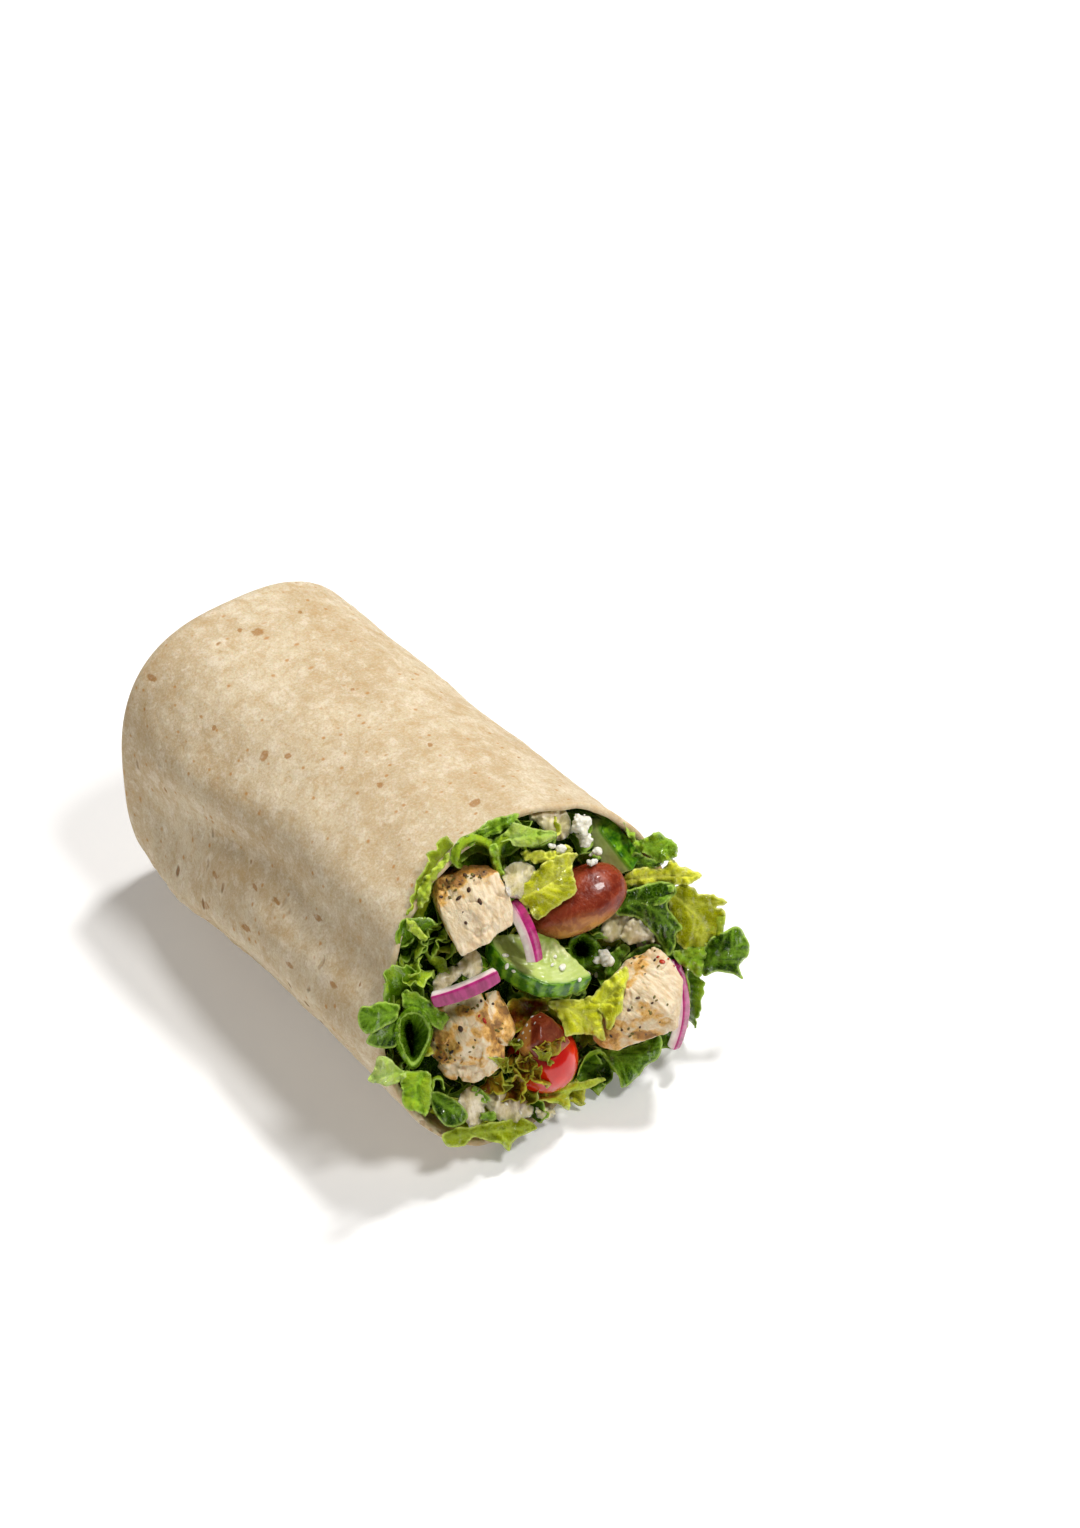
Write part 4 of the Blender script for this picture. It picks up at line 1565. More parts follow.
def heroes(L, tops):
    """The leaves that the picture shows, from the back of the heap forwards."""
    # the top of the cut: two rolled arches, then a bright leaf folded over
    patch(L, [(447, 866, -1), (453, 848, -.6), (463, 838, -.4), (477, 831, -.2), (493, 824, 0),
              (508, 819, 0), (520, 822, 0), (524, 838, 0), (518, 850, -2), (500, 858, -2.4),
              (476, 852, -3), (462, 862, -3)], tone=.30, seed=9, teeth=.8, bulge=.3)
    patch(L, [(459, 870, -4.2), (462, 850, -4.2), (475, 842, -4.2), (488, 848, -4.2),
              (494, 870, -4.2)], tone=.5, seed=74, veins=False, quilt=.1, bulge=.2)
    patch(L, [(498, 874, -4.4), (499, 850, -4.4), (508, 838, -4.4), (523, 838, -4.4),
              (530, 858, -4.4)], tone=.45, seed=75, veins=False, quilt=.1, bulge=.2)
    net(L, [[(464, 871, -5), (466, 857, -5), (475, 851, -5), (484, 857, -5), (488, 871, -5)],
            [(461, 869, -1.8), (463, 852, -1.8), (474, 846, -1.8), (486, 850, -1.8), (491, 869, -1.8)],
            [(457, 868, 2.2), (460, 850, 2.6), (472, 841, 3), (487, 846, 2.8), (496, 869, 2.4)],
            [(449, 860, .4), (455, 844, .8), (472, 834, 1.2), (491, 840, 1), (501, 866, .8)]],
        tone=.30, tone_end=.90, frill=.15, seed=1)
    net(L, [[(503, 869, -5), (505, 853, -5), (512, 847, -5), (520, 850, -5), (522, 860, -5)],
            [(500, 871, -1.8), (502, 849, -1.8), (511, 842, -1.8), (521, 844, -1.8), (525, 858, -1.8)],
            [(498, 875, 2.6), (499, 848, 3.2), (507, 838, 3.4), (519, 840, 3), (527, 853, 1.6)],
            [(493, 873, 1), (494, 843, 1.6), (505, 832, 2), (522, 834, 1.6), (532, 851, .4)]],
        tone=.25, tone_end=.90, frill=.12, seed=2)
    patch(L, [(489, 848, 2.2), (494, 843, 2.8), (498, 846, 3.2), (500, 860, 3), (505, 875, 2.6),
              (499, 878, 2.2), (493, 864, 2.2)],
          tone=.82, seed=3, teeth=.4, bulge=.5, fold=.2, wrinkle=.3)
    patch(L, [(519, 845, 2), (535, 846, 2.4), (550, 841, 3), (557, 835, 3), (554, 846, 1),
              (548, 852, .6), (538, 855, .2), (526, 852, .4)], tone=.0, seed=4, teeth=.3,
          bulge=-.5, veins=False, quilt=.1, wrinkle=.3)
    patch(L, [(501, 842, 2.8), (503, 836, 2.6), (511, 825, 2.2), (515, 822, 2), (530, 827, 2.2),
              (541, 829, 2.8), (557, 833, 3.8), (548, 841, 4), (530, 846, 4), (514, 846, 3.6),
              (510, 840, 3.4)],
          rib=[(505, 838), (530, 835), (556, 834)], tone=.95, pale=.22, seed=5, teeth=.7,
          bulge=1.0, fold=.8, wrinkle=.8)
    patch(L, [(466, 842, 0), (476, 830, .2), (492, 820, .2), (508, 815, .2), (520, 814, .2),
              (515, 824, 1), (500, 832, 1), (484, 838, 1), (472, 846, .6)],
          tone=.50, seed=6, teeth=1.2)
    # pale, glassy pieces by the top edge
    patch(L, [(530, 815, -2.5), (541, 809, -2.2), (556, 807, -2), (567, 812, -2), (571, 824, -1.6),
              (568, 836, -1.2), (559, 841, -1), (550, 836, -1.4), (540, 826, -2)],
          tone=.8, pale=.92, seed=7, teeth=.5, thick=1.6, veins=False, bulge=1.2)
    patch(L, [(521, 852, 1.4), (535, 851, 1.8), (550, 851, 2), (565, 844, 1.6), (574, 850, 1.4),
              (566, 858, 2.2), (548, 863, 2.6), (533, 862, 2.2), (524, 860, 1.6)],
          rib=[(522, 856), (546, 857), (573, 850)], tone=.65, yellow=.8, seed=8, teeth=1.6,
          tooth=5, ruffle=.9, wave=8)
    # the thin frill that follows the bread on the left
    net(L, [[(462, 852, -6), (446, 872, -6), (433, 898, -6), (424, 925, -6)],
            [(452, 842, -1.5), (436, 862, -1.5), (424, 888, -1.5), (414, 920, -1.5)],
            [(446, 835, 1.8), (429, 856, 1.6), (417, 882, 1.6), (407, 915, 1.6)]],
        tone=.30, tone_end=.95, yellow=.25, frill=.75, pitch=2.6, seed=10)
    patch(L, [(407, 918, 1.6), (414, 921, 2.2), (421, 929, 2.4), (428, 937, 2.2), (424, 941, 2),
              (414, 936, 1.8), (407, 928, 1.6)], tone=.85, yellow=.3, seed=11, teeth=1.0)
    patch(L, [(423, 880, 1), (431, 870, 1.4), (441, 860, 1.4), (450, 853, 1.6), (449, 862, 2),
              (440, 872, 2), (432, 886, 2), (426, 902, 2), (418, 908, 1.4), (418, 892, 1)],
          tone=.75, yellow=.3, seed=12, teeth=1.6, tooth=4, ruffle=.7, wave=7)
    # left: dark frilly curls from the bread inwards
    for i, (x, y, gx, gy, sz, tn, tw) in enumerate([
            (424, 948, -.2, .9, 7.5, .36, .4), (408, 958, -.9, .3, 7.5, .40, 1.2),
            (438, 942, .5, .7, 7.0, .30, .9), (436, 965, .2, .8, 6.0, .48, 2.0),
            (414, 976, -.8, .2, 7.5, .44, .3), (426, 988, -.3, -.3, 6.5, .36, 1.6),
            (400, 990, -.8, .4, 7.5, .34, .8), (392, 1004, -.7, -.2, 6.0, .30, 2.2),
            (446, 955, .7, .2, 5.5, .52, 1.1), (398, 968, -1, .5, 6.5, .50, 2.6)]):
        p = at(x, y, -4.0)
        u, v = ((p - CUT_C) @ C_U) / MM, ((p - CUT_C) @ C_V) / MM
        filler(L, u, v, -4.0, (gx, gy, 1.5), tw, sz, tn + .14, .12, 20 + i, frill=1.25, span=1.25,
               cup=2.6, fine=(46, 16))
    net(L, [[(388, 1012, -2), (400, 1004, -4), (412, 1000, -4), (424, 1002, -4)],
            [(384, 1000, 2), (396, 988, 1), (410, 985, .4), (424, 990, 0)],
            [(384, 985, 2.4), (388, 968, 2.2), (404, 966, 2), (420, 972, 2)]],
        tone=.22, tone_end=.62, frill=.9, pitch=2.8, seed=31)
    net(L, [[(404, 950, -4), (416, 946, -4), (428, 944, -4)],
            [(396, 944, .6), (410, 932, 1), (428, 930, .6)],
            [(394, 932, 1.8), (406, 921, 2.4), (424, 918, 2.4), (440, 926, 2)]],
        tone=.18, tone_end=.55, frill=.85, pitch=2.8, seed=32)
    # lobes over the bread, lower left
    patch(L, [(366, 1042, 3.8), (374, 1047, 3.6), (388, 1048, 3), (397, 1045, 2.4), (401, 1030, 2),
              (397, 1017, 2.2), (384, 1024, 3.4), (372, 1032, 4)],
          rib=[(399, 1026), (384, 1036), (370, 1042)], tone=.06, seed=35, teeth=.5, tooth=9,
          bulge=1.4, quilt=.3, wrinkle=1.0)
    patch(L, [(400, 1006, 2.6), (390, 1003, 3.4), (377, 1002, 4.4), (370, 1006, 4.8), (361, 1007, 5.2),
              (358, 1018, 5.2), (361, 1030, 5), (370, 1034, 4.8), (384, 1028, 4.2), (397, 1020, 3)],
          rib=[(402, 1012), (382, 1017), (362, 1020)], tone=.24, seed=33, teeth=1.0, tooth=8,
          bulge=1.6, quilt=.4, wrinkle=1.3, fold=1.4)
    net(L, [[(408, 1030, -10), (410, 1027, -10), (412, 1031, -10), (413, 1040, -10), (411, 1048, -10), (409, 1040, -10)],
            [(405, 1028, -3), (409, 1021, -3), (413, 1027, -3), (415, 1039, -3), (412, 1057, -3), (407, 1044, -3)],
            [(399, 1027, 2.6), (408, 1014, 3), (421, 1019, 3), (426, 1036, 3), (414, 1061, 2.4), (403, 1047, 2.2)],
            [(395, 1027, 4.0), (408, 1009, 4.6), (424, 1014, 4.6), (431, 1035, 4.4), (414, 1067, 3.4), (399, 1049, 3.4)],
            [(394, 1027, 0), (408, 1007, 0), (425, 1012, 0), (433, 1035, 0), (415, 1069, 0), (398, 1050, 0)]],
        closed=True, tone=.10, tone_end=.55, seed=34, nu=84, nv=46, quilt=.3, frill=0, edge_ring=.72)
    patch(L, [(402, 992, 1), (414, 991, 1), (430, 1002, 1.2), (446, 1014, 1.6), (449, 1020, 1.6),
              (441, 1030, 1.4), (432, 1026, 1.4), (424, 1014, 1.8), (414, 1008, 1.8), (404, 1006, 1.4)],
          rib=[(404, 998), (424, 1006), (446, 1020)], tone=.48, seed=37, teeth=1.3, tooth=5)
    patch(L, [(368, 1080, 5.2), (375, 1067, 4.8), (379, 1056, 4), (393, 1061, 3.4), (401, 1070, 3),
              (411, 1072, 2.6), (402, 1080, 3), (388, 1087, 3.8), (378, 1084, 4.6)],
          rib=[(408, 1072), (388, 1074), (370, 1079)], tone=.95, pale=.30, seed=38, teeth=1.0, tooth=9, bulge=1)
    patch(L, [(402, 1074, 2), (412, 1070, 2.2), (425, 1071, 2.2), (432, 1078, 2.2), (431, 1092, 2.8),
              (430, 1104, 3.2), (426, 1117, 3.6), (418, 1113, 3.4), (406, 1108, 3), (402, 1092, 2.6)],
          rib=[(422, 1074), (417, 1090), (424, 1114)], tone=.72, seed=39, quilt=1.0, teeth=1.3, tooth=6)
    net(L, [[(430, 1088, -4), (434, 1082, -5), (439, 1082, -5), (441, 1088, -4)],
            [(430, 1090, 1.4), (433, 1078, 1.8), (440, 1077, 1.8), (444, 1090, 1.4)],
            [(432, 1094, 2.4), (436, 1081, 2.8), (442, 1081, 2.6), (444, 1092, 2)]],
        tone=.15, tone_end=.7, frill=.1, seed=40)
    patch(L, [(429, 1094, 2), (440, 1092, 2.2), (452, 1098, 2.6), (462, 1106, 3), (468, 1114, 3.2),
              (466, 1121, 3.4), (456, 1127, 3.4), (446, 1126, 3.2), (439, 1119, 2.8),
              (433, 1108, 2.4)],
          rib=[(430, 1095), (449, 1108), (466, 1118)], tone=.10, seed=41, teeth=.4, tooth=9,
          quilt=.15, bulge=1.6, fold=1.3, wrinkle=.7)
    # the lowest leaf, lying out over the edge
    patch(L, [(443, 1134, 2.6), (456, 1128, 2.4), (470, 1127, 2.4), (485, 1124, 2.2), (500, 1121, 2),
              (520, 1118, 2.2), (534, 1124, 3.4), (536, 1130, 4.4), (522, 1136, 4.6), (513, 1142, 5),
              (509, 1151, 6), (499, 1143, 5), (486, 1140, 4.4), (477, 1137, 4.2), (469, 1141, 4.4),
              (464, 1147, 4.8), (449, 1147, 4.2), (444, 1141, 3.4)],
          rib=[(446, 1138), (486, 1132), (534, 1127)], tone=.30, yellow=.42, seed=42, teeth=.9,
          tooth=7, bulge=.8, ruffle=.8)
    # pale, brownish-white glassy pieces above it
    patch(L, [(461, 1094, 1), (468, 1086, 1), (480, 1088, 1.4), (486, 1098, 2), (484, 1112, 2.4),
              (480, 1128, 2.4), (471, 1130, 2), (466, 1120, 1.8), (460, 1106, 1.4)],
          tone=.8, pale=1.0, seed=43, teeth=1.4, tooth=5, thick=1.1, veins=False, bulge=1.6)
    patch(L, [(484, 1092, 1), (497, 1089, 1), (510, 1092, 1.4), (522, 1098, 1.8), (532, 1108, 2.4),
              (528, 1118, 2.6), (515, 1122, 2.6), (500, 1120, 2.2), (488, 1112, 2)],
          tone=.8, pale=1.0, seed=44, teeth=1.8, tooth=4.5, thick=1.0, veins=False, wrinkle=.9)
    patch(L, [(536, 1108, 2), (546, 1107, 2.2), (556, 1113, 2.8), (548, 1119, 2.8), (538, 1117, 2.4)],
          tone=.8, pale=.9, seed=45, teeth=1.2, tooth=3, thick=1.0, veins=False)
    patch(L, [(478, 1114, 2.0), (488, 1111, 2.2), (498, 1115, 2.8), (491, 1121, 2.8), (481, 1119, 2.4)],
          tone=.20, seed=46, teeth=1.5, tooth=4)
    patch(L, [(472, 1086, 1.8), (482, 1090, 2), (491, 1099, 2.4), (484, 1103, 2.2), (474, 1096, 2)],
          tone=.2, seed=47, teeth=.7)
    # below the tomato
    patch(L, [(528, 1096, 1), (540, 1094, 1.2), (556, 1088, 1.6), (575, 1082, 2), (600, 1077, 2.4),
              (606, 1081, 3), (588, 1088, 3.2), (571, 1094, 3.6), (569, 1110, 5), (556, 1103, 3.6),
              (540, 1101, 2.4)],
          rib=[(530, 1098), (560, 1094), (602, 1080)], tone=.68, yellow=.45, seed=48, teeth=1.3,
          tooth=6)
    # lower right: a leaf arched under the chunk
    patch(L, [(572, 1086, .4), (574, 1070, -.6), (584, 1056, -.6), (598, 1050, 0), (610, 1062, 0),
              (612, 1080, .6), (596, 1088, .8)], tone=.03, seed=49, teeth=.3, bulge=-1.5)
    patch(L, [(592, 1046, 1), (606, 1050, 2), (624, 1048, 3), (642, 1042, 4), (660, 1034, 5),
              (660, 1056, 5.4), (645, 1068, 5.2), (637, 1077, 5.4), (622, 1089, 6.4), (619, 1078, 5),
              (615, 1072, 4.4), (608, 1062, 3), (600, 1054, 2)],
          rib=[(598, 1048), (622, 1060), (640, 1066)], tone=.30, seed=50, teeth=.9, tooth=8,
          bulge=2.0, quilt=.5)
    net(L, [[(578, 1082, -3), (588, 1062, -3.5), (602, 1060, -3.5), (612, 1074, -2)],
            [(577, 1076, 1.6), (586, 1058, 1.8), (602, 1055, 2.2), (615, 1072, 3)],
            [(579, 1070, 3), (590, 1052, 3.2), (606, 1053, 3.6), (621, 1080, 5)]],
        tone=.14, tone_end=.78, frill=.15, seed=51)
    # right: leaves that stand out over the edge
    patch(L, [(604, 1002, -2), (616, 965, -2), (640, 948, -1), (660, 944, 0), (684, 960, 2),
              (690, 1000, 2), (682, 1040, 1), (650, 1052, 0), (612, 1054, -1)],
          tone=.18, seed=52, bulge=-1)
    patch(L, [(624, 822, 1.2), (640, 840, 2.4), (652, 836, 3), (662, 834, 3.4), (673, 841, 4),
              (679, 849, 4.4), (673, 857, 4), (662, 863, 3.4), (646, 856, 2.4), (633, 842, 1.6),
              (627, 830, 1.2)],
          rib=[(626, 824), (646, 846), (676, 849)], tone=.62, seed=53, teeth=2.4, tooth=5, bulge=1.3, ruffle=1.3,
          wave=8)
    patch(L, [(634, 852, .6), (650, 858, 1.6), (664, 862, 2.4), (656, 868, 2), (642, 868, 1.2),
              (632, 866, .4)], tone=.08, seed=54, teeth=.8)
    patch(L, [(668, 898, 2.6), (672, 890, 3), (681, 884, 4), (692, 888, 5), (700, 893, 5.6),
              (715, 895, 6.4), (728, 902, 7.4), (716, 907, 6.6), (725, 912, 7), (724, 925, 6.6),
              (720, 945, 6), (705, 950, 5), (680, 946, 4), (672, 918, 3)],
          rib=[(674, 894), (698, 915), (712, 944)], tone=.14, yellow=.85, seed=55, teeth=1.3,
          tooth=5, bulge=1.8, quilt=.55)
    patch(L, [(705, 935, 6), (714, 915, 6.8), (725, 911, 7.6), (724, 928, 7.4), (719, 944, 7),
              (708, 948, 6.4)], tone=.62, yellow=.35, seed=56, teeth=.8, bulge=.6)
    patch(L, [(622, 884, 1), (628, 873, 1.4), (640, 867, 2), (660, 868, 3), (672, 861, 4),
              (678, 866, 4.6), (690, 868, 5.4), (702, 876, 6.6), (692, 882, 5.8), (680, 885, 4.8),
              (660, 883, 3.4), (640, 886, 2)],
          rib=[(624, 880), (660, 876), (700, 876)], tone=.55, yellow=.9, seed=57, teeth=1.7,
          tooth=5, ruffle=1.0, wave=9)
    patch(L, [(617, 895, 1.6), (630, 889, 2.4), (648, 884, 4), (661, 881, 5), (674, 884, 5.8),
              (676, 892, 6), (668, 903, 6), (672, 914, 6), (683, 928, 6.6), (676, 934, 6.2),
              (675, 946, 6), (668, 956, 5.6), (660, 944, 4.8), (648, 928, 4), (634, 917, 3),
              (616, 914, 1.8)],
          rib=[(618, 906), (640, 902), (664, 918), (674, 930)], tone=.02, seed=58, teeth=.9,
          tooth=8, bulge=2.2, quilt=.25, wrinkle=.6)
    patch(L, [(664, 905, 1), (676, 900, 1.6), (690, 915, 2), (692, 940, 2), (688, 962, 2), (672, 966, 1.4),
              (662, 948, .6)], tone=.06, seed=73, teeth=.8)
    patch(L, [(640, 902, 5.6), (655, 895, 6.6), (664, 886, 7.0), (673, 885, 7.2), (674, 891, 7.2),
              (666, 902, 7.2), (652, 906, 6.6)], tone=.32, seed=59, teeth=.5, bulge=.6)
    patch(L, [(672, 952, 3), (684, 948, 4), (698, 946, 5), (707, 947, 6), (704, 962, 6),
              (703, 973, 5.6), (698, 977, 5), (686, 968, 4), (678, 962, 3.4)],
          rib=[(674, 956), (690, 958), (704, 960)], tone=.70, seed=60, teeth=.8, bulge=1.2)
    patch(L, [(703, 950, 5.4), (709, 941, 6.2), (715, 935, 7), (726, 931, 8), (737, 927, 9),
              (744, 934, 9.4), (749, 944, 9.6), (748, 955, 9.4), (739, 966, 9.2), (743, 979, 10.2),
              (728, 973, 8.6), (714, 973, 7.2), (704, 975, 6.2), (702, 962, 5.6)],
          rib=[(704, 966), (724, 954), (744, 942)], tone=.10, seed=61, teeth=.8, tooth=7,
          bulge=1.8, quilt=.5)
    net(L, [[(684, 972, -1), (686, 990, -1), (686, 1008, -1), (688, 1020, -1)],
            [(690, 970, 3), (694, 988, 3.4), (694, 1008, 3.4), (692, 1024, 3.2)],
            [(699, 974, 5), (705, 988, 5.6), (701, 1006, 5.4), (694, 1029, 5.4)]],
        tone=.22, tone_end=.66, frill=.9, pitch=2.8, seed=62)
    # between olive and chunk: a small roll and glassy pieces
    net(L, [[(577, 945, -8), (583, 944, -8), (584, 951, -8), (579, 954, -8)],
            [(574, 944, -2), (582, 939, -2), (589, 946, -2), (588, 956, -2), (579, 959, -2), (573, 953, -2)],
            [(571, 942, .8), (582, 935, 1.4), (594, 943, 1.6), (594, 958, 1.2), (582, 966, .8), (570, 958, .6)],
            [(568, 941, -1), (582, 932, 0), (598, 941, 0), (598, 962, 0), (582, 970, -1), (567, 961, -1)],
            [(570, 943, -5), (582, 936, -5), (595, 943, -5), (595, 960, -5), (582, 966, -5), (570, 959, -5)]],
        closed=True, tone=.02, tone_end=.45, seed=63, nu=60, nv=34, frill=0)
    patch(L, [(601, 930, -1), (606, 918, -1), (617, 912, -.6), (629, 914, 0), (634, 924, .6),
              (625, 936, .6), (612, 942, 0), (603, 940, -.6)],
          tone=.6, pale=.82, seed=64, teeth=1.0, thick=1.4, veins=False, bulge=1.0)
    patch(L, [(624, 926, 2), (634, 918, 2.4), (646, 925, 3.4), (655, 932, 4), (654, 941, 4.2),
              (643, 941, 3.6), (632, 944, 3), (622, 940, 2.2)],
          tone=.8, pale=1.0, seed=65, teeth=1.4, tooth=4, thick=1.0, veins=False)
    patch(L, [(605, 960, -.4), (614, 950, 0), (624, 944, .4), (630, 950, .8), (622, 962, .6),
              (618, 974, .4), (606, 978, 0)], tone=.24, seed=66, teeth=1.0)
    # left of centre, glassy pieces over the lower chunk
    patch(L, [(458, 964, 1.6), (466, 954, 1.2), (476, 950, 1.4), (482, 960, 2), (482, 972, 2.6),
              (472, 978, 2.6), (461, 974, 2)],
          tone=.8, pale=1.0, seed=67, teeth=.8, thick=1.2, veins=False)
    patch(L, [(433, 990, 1), (436, 976, .8), (448, 968, 1), (458, 966, 1.4), (461, 975, 1.8),
              (452, 984, 1.8), (442, 994, 1.4), (436, 996, 1.2)],
          tone=.8, pale=.9, seed=68, teeth=1.0, thick=1.2, veins=False)
    # glassy piece right of the upper chunk
    patch(L, [(503, 872, 2), (512, 864, 2.2), (524, 862, 2.6), (534, 868, 3), (536, 878, 3.4),
              (530, 890, 3.6), (520, 898, 3.6), (510, 896, 3), (505, 886, 2.6)],
          tone=.7, pale=.85, seed=69, teeth=.8, thick=1.5, veins=False, bulge=1.2)
    over(L, tops, .3)
    # yellow serrated leaf before the olive
    patch(L, [(545, 862, 3), (556, 858, 3.4), (567, 852, 3.4), (577, 853, 3.8), (573, 866, 4.2),
              (576, 880, 4.6), (575, 895, 4.8), (563, 903, 4.6), (551, 911, 4.4), (538, 920, 4),
              (528, 909, 3.4), (517, 897, 3), (520, 888, 3), (534, 872, 3)],
          rib=[(524, 894), (548, 884), (572, 862)], tone=.28, yellow=.9, seed=70, teeth=1.5,
          tooth=4.5, bulge=1.4, quilt=.6)
    over(L, tops, .5)
    # yellow-green leaf in two lobes before the right-hand chunk
    patch(L, [(548, 1003, 4), (560, 1000, 4.4), (578, 999, 4.8), (592, 996, 5.2), (600, 1004, 6),
              (602, 1018, 6.4), (605, 1040, 7.4), (594, 1036, 6.6), (580, 1034, 6), (566, 1037, 5.6),
              (563, 1028, 5), (558, 1016, 4.4)],
          rib=[(552, 1004), (580, 1014), (602, 1036)], tone=.50, yellow=.85, seed=71, teeth=1.2,
          tooth=7, bulge=1.2, quilt=.5)
    over(L, tops, .6)
    patch(L, [(590, 1000, 6), (600, 986, 6.6), (612, 976, 7), (625, 966, 7.6), (628, 976, 8),
              (624, 994, 8.2), (622, 1010, 8.2), (616, 1018, 8.4), (612, 1029, 8.8), (607, 1028, 8.4),
              (604, 1016, 7.4), (596, 1008, 6.6)],
          rib=[(598, 1006), (612, 992), (624, 972)], tone=.72, yellow=.75, seed=72, teeth=1.0,
          tooth=6, bulge=1.0)
    over(L, tops, .6)


def red_frills(R, tops):
    patch(R, [(510, 1000, -1), (524, 998, -1), (545, 1000, 0), (549, 1010, .6), (536, 1014, .6),
              (522, 1030, .4), (510, 1034, 0), (506, 1014, -1)], tone=.1, red=1.0, seed=79,
          teeth=.8, bulge=.4)
    r = np.random.default_rng(17)
    spots = [(509, 1046), (515, 1054), (522, 1062), (512, 1066), (520, 1074), (530, 1070),
             (512, 1080), (524, 1084), (534, 1080), (498, 1082), (506, 1090), (520, 1094),
             (541, 1062), (538, 1050), (532, 1058), (528, 1090), (552, 1046),
             (490, 1078), (502, 1070)]
    for i, (x, y) in enumerate(spots):
        out = 5.0 if i in (4, 5, 7, 8, 12, 13, 14, 16) else 1.6
        p = at(x, y, out)
        u, v = ((p - CUT_C) @ C_U) / MM, ((p - CUT_C) @ C_V) / MM
        filler(R, u, v, out - 1.0, (r.uniform(-1, 1), r.uniform(-1, 1), 1.1), r.uniform(0, 3),
               r.uniform(3.0, 4.8), .42, .2, 80 + i, frill=.95, red=.95 if i % 3 else .45,
               span=1.4, cup=1.2, tucked=False)
        over(R, tops, .15, 3.0)


# ------------------------------------------------------------------ everything
LEAF = leaf_material()
roll = bread()
CH, OL, TO, CU, ON, FE = (chicken_material(), olive_material(), tomato_material(),
                          cucumber_material(), onion_material(), feta_material())

ch1 = chicken("chicken_upper_left_look", at(472, 912, 1.6),
              [(436, 878, 4.5), (466, 873, 6.5), (495, 872, 5.5), (506, 888, 6.5), (513, 904, 6),
               (512, 925, 6), (488, 944, 8), (461, 957, 8), (449, 932, 8), (439, 911, 7),
               (430, 891, 1.5), (449, 866, -2), (487, 865, -1), (478, 905, 9.2)],
              [(432, 905, -5), (452, 868, -8), (500, 878, -7), (510, 915, -6), (466, 950, -6)],
              [((-.15, 1, .05), .30, .75, 1.0), ((-1, .15, .25), .62, .95, .55)], (.35, -.75, .4),
              grooves=(), seed=1, mat=CH, lumps=.35,
              stains=((452, 880, 20, 11, 1.0), (478, 871, 18, 7, 1.0), (440, 895, 9, 13, .85),
                      (465, 893, 11, 8, .40), (482, 884, 9, 7, .35)))
ch2 = chicken("chicken_lower_left_look", at(472, 1036, 1.0),
              [(431, 1010, 2), (440, 1003, 2), (462, 996, 2), (478, 990, 2), (486, 1002, 4),
               (494, 1022, 5), (497, 1042, 5), (494, 1058, 4), (484, 1068, 4), (448, 1068, 3),
               (430, 1057, 2), (429, 1036, 2), (448, 1020, 7), (474, 1014, 7), (486, 1040, 8),
               (458, 1054, 8), (468, 1032, 9)],
              [(436, 1020, -7), (478, 998, -7), (496, 1030, -7), (488, 1062, -7), (446, 1066, -7)],
              more=([(484, 992, 0), (496, 991, 1), (506, 1004, 2), (514, 1022, 2.5), (516, 1033, 2),
                     (507, 1046, 3), (500, 1040, 5.5), (492, 1014, 5), (488, 1000, 3),
                     (500, 1000, -6), (514, 1030, -6), (498, 1046, -6)],
                    [(490, 1040, 5.5), (504, 1046, 3.5), (505, 1060, 3), (497, 1071, 3), (488, 1076, 3),
                     (480, 1068, 6), (484, 1050, 7.5), (500, 1056, -5), (484, 1068, -5)],
                    [(466, 1056, 8), (484, 1062, 5.5), (486, 1076, 2.5), (474, 1083, 2), (462, 1082, 2.5),
                     (456, 1070, 5), (478, 1076, -4), (462, 1074, -4)],
                    [(440, 1060, 5), (458, 1060, 6.5), (464, 1072, 4), (456, 1080, 2), (446, 1076, 2),
                     (436, 1066, 2), (450, 1070, -4)],
                    [(432, 1022, 4), (446, 1014, 5.5), (454, 1028, 7.5), (446, 1044, 7.5), (432, 1044, 4),
                     (440, 1030, -3)]),
              sear=              [((-.7, .35, .6), .60, .97, .55), ((1, .25, .25), .45, .85, .75),
               ((-.2, -1, .3), .55, .95, .45)], grain=(.45, -.85, .2),
              grooves=(((480, 994, 7), (503, 1042, 6), .9, .8), ((452, 1066, 5), (472, 1074, 5), .8, .8)),
              seed=2, mat=CH, lumps=.45, soft=5,
              stains=((445, 1040, 15, 16, .7), (455, 1050, 12, 10, .75), (440, 1056, 9, 10, .9),
                      (465, 1010, 20, 8, .65), (500, 1018, 8, 24, .75), (481, 1030, 9, 10, .5),
                      (478, 1064, 12, 8, .5), (470, 1044, 10, 7, .45), (492, 1048, 8, 12, .5)))
ch3 = chicken("chicken_right_look", at(637, 997, 9.0),
              [(655, 945, 0), (668, 957, 3), (683, 979, 3), (681, 990, 5), (678, 1000, 5),
               (679, 1028, 4), (664, 1032, 3), (650, 1040, 3), (634, 1045, 3), (618, 1050, 2),
               (600, 1047, 1), (592, 1040, 0), (592, 1015, 0), (606, 985, 0), (625, 962, 0),
               (626, 990, 7), (668, 1012, 8), (648, 990, 7.6), (614, 1020, 6)],
              [(604, 1000, -7), (630, 962, -8), (672, 970, -7), (674, 1020, -7), (610, 1042, -7)],
              [((-.55, -.75, .45), .52, .92, .62), ((-.2, 1, .1), .55, .9, .5)], (.75, -.55, .2),
              grooves=(((626, 992, 8), (668, 1016, 9), .35, .7),), seed=3, mat=CH, lumps=.5,
              stains=((616, 1030, 18, 14, .62), (644, 1036, 22, 7, .80), (646, 1010, 16, 9, .50),
                      (640, 964, 11, 8, .55), (608, 1012, 10, 18, .65), (664, 1022, 12, 6, .55)))
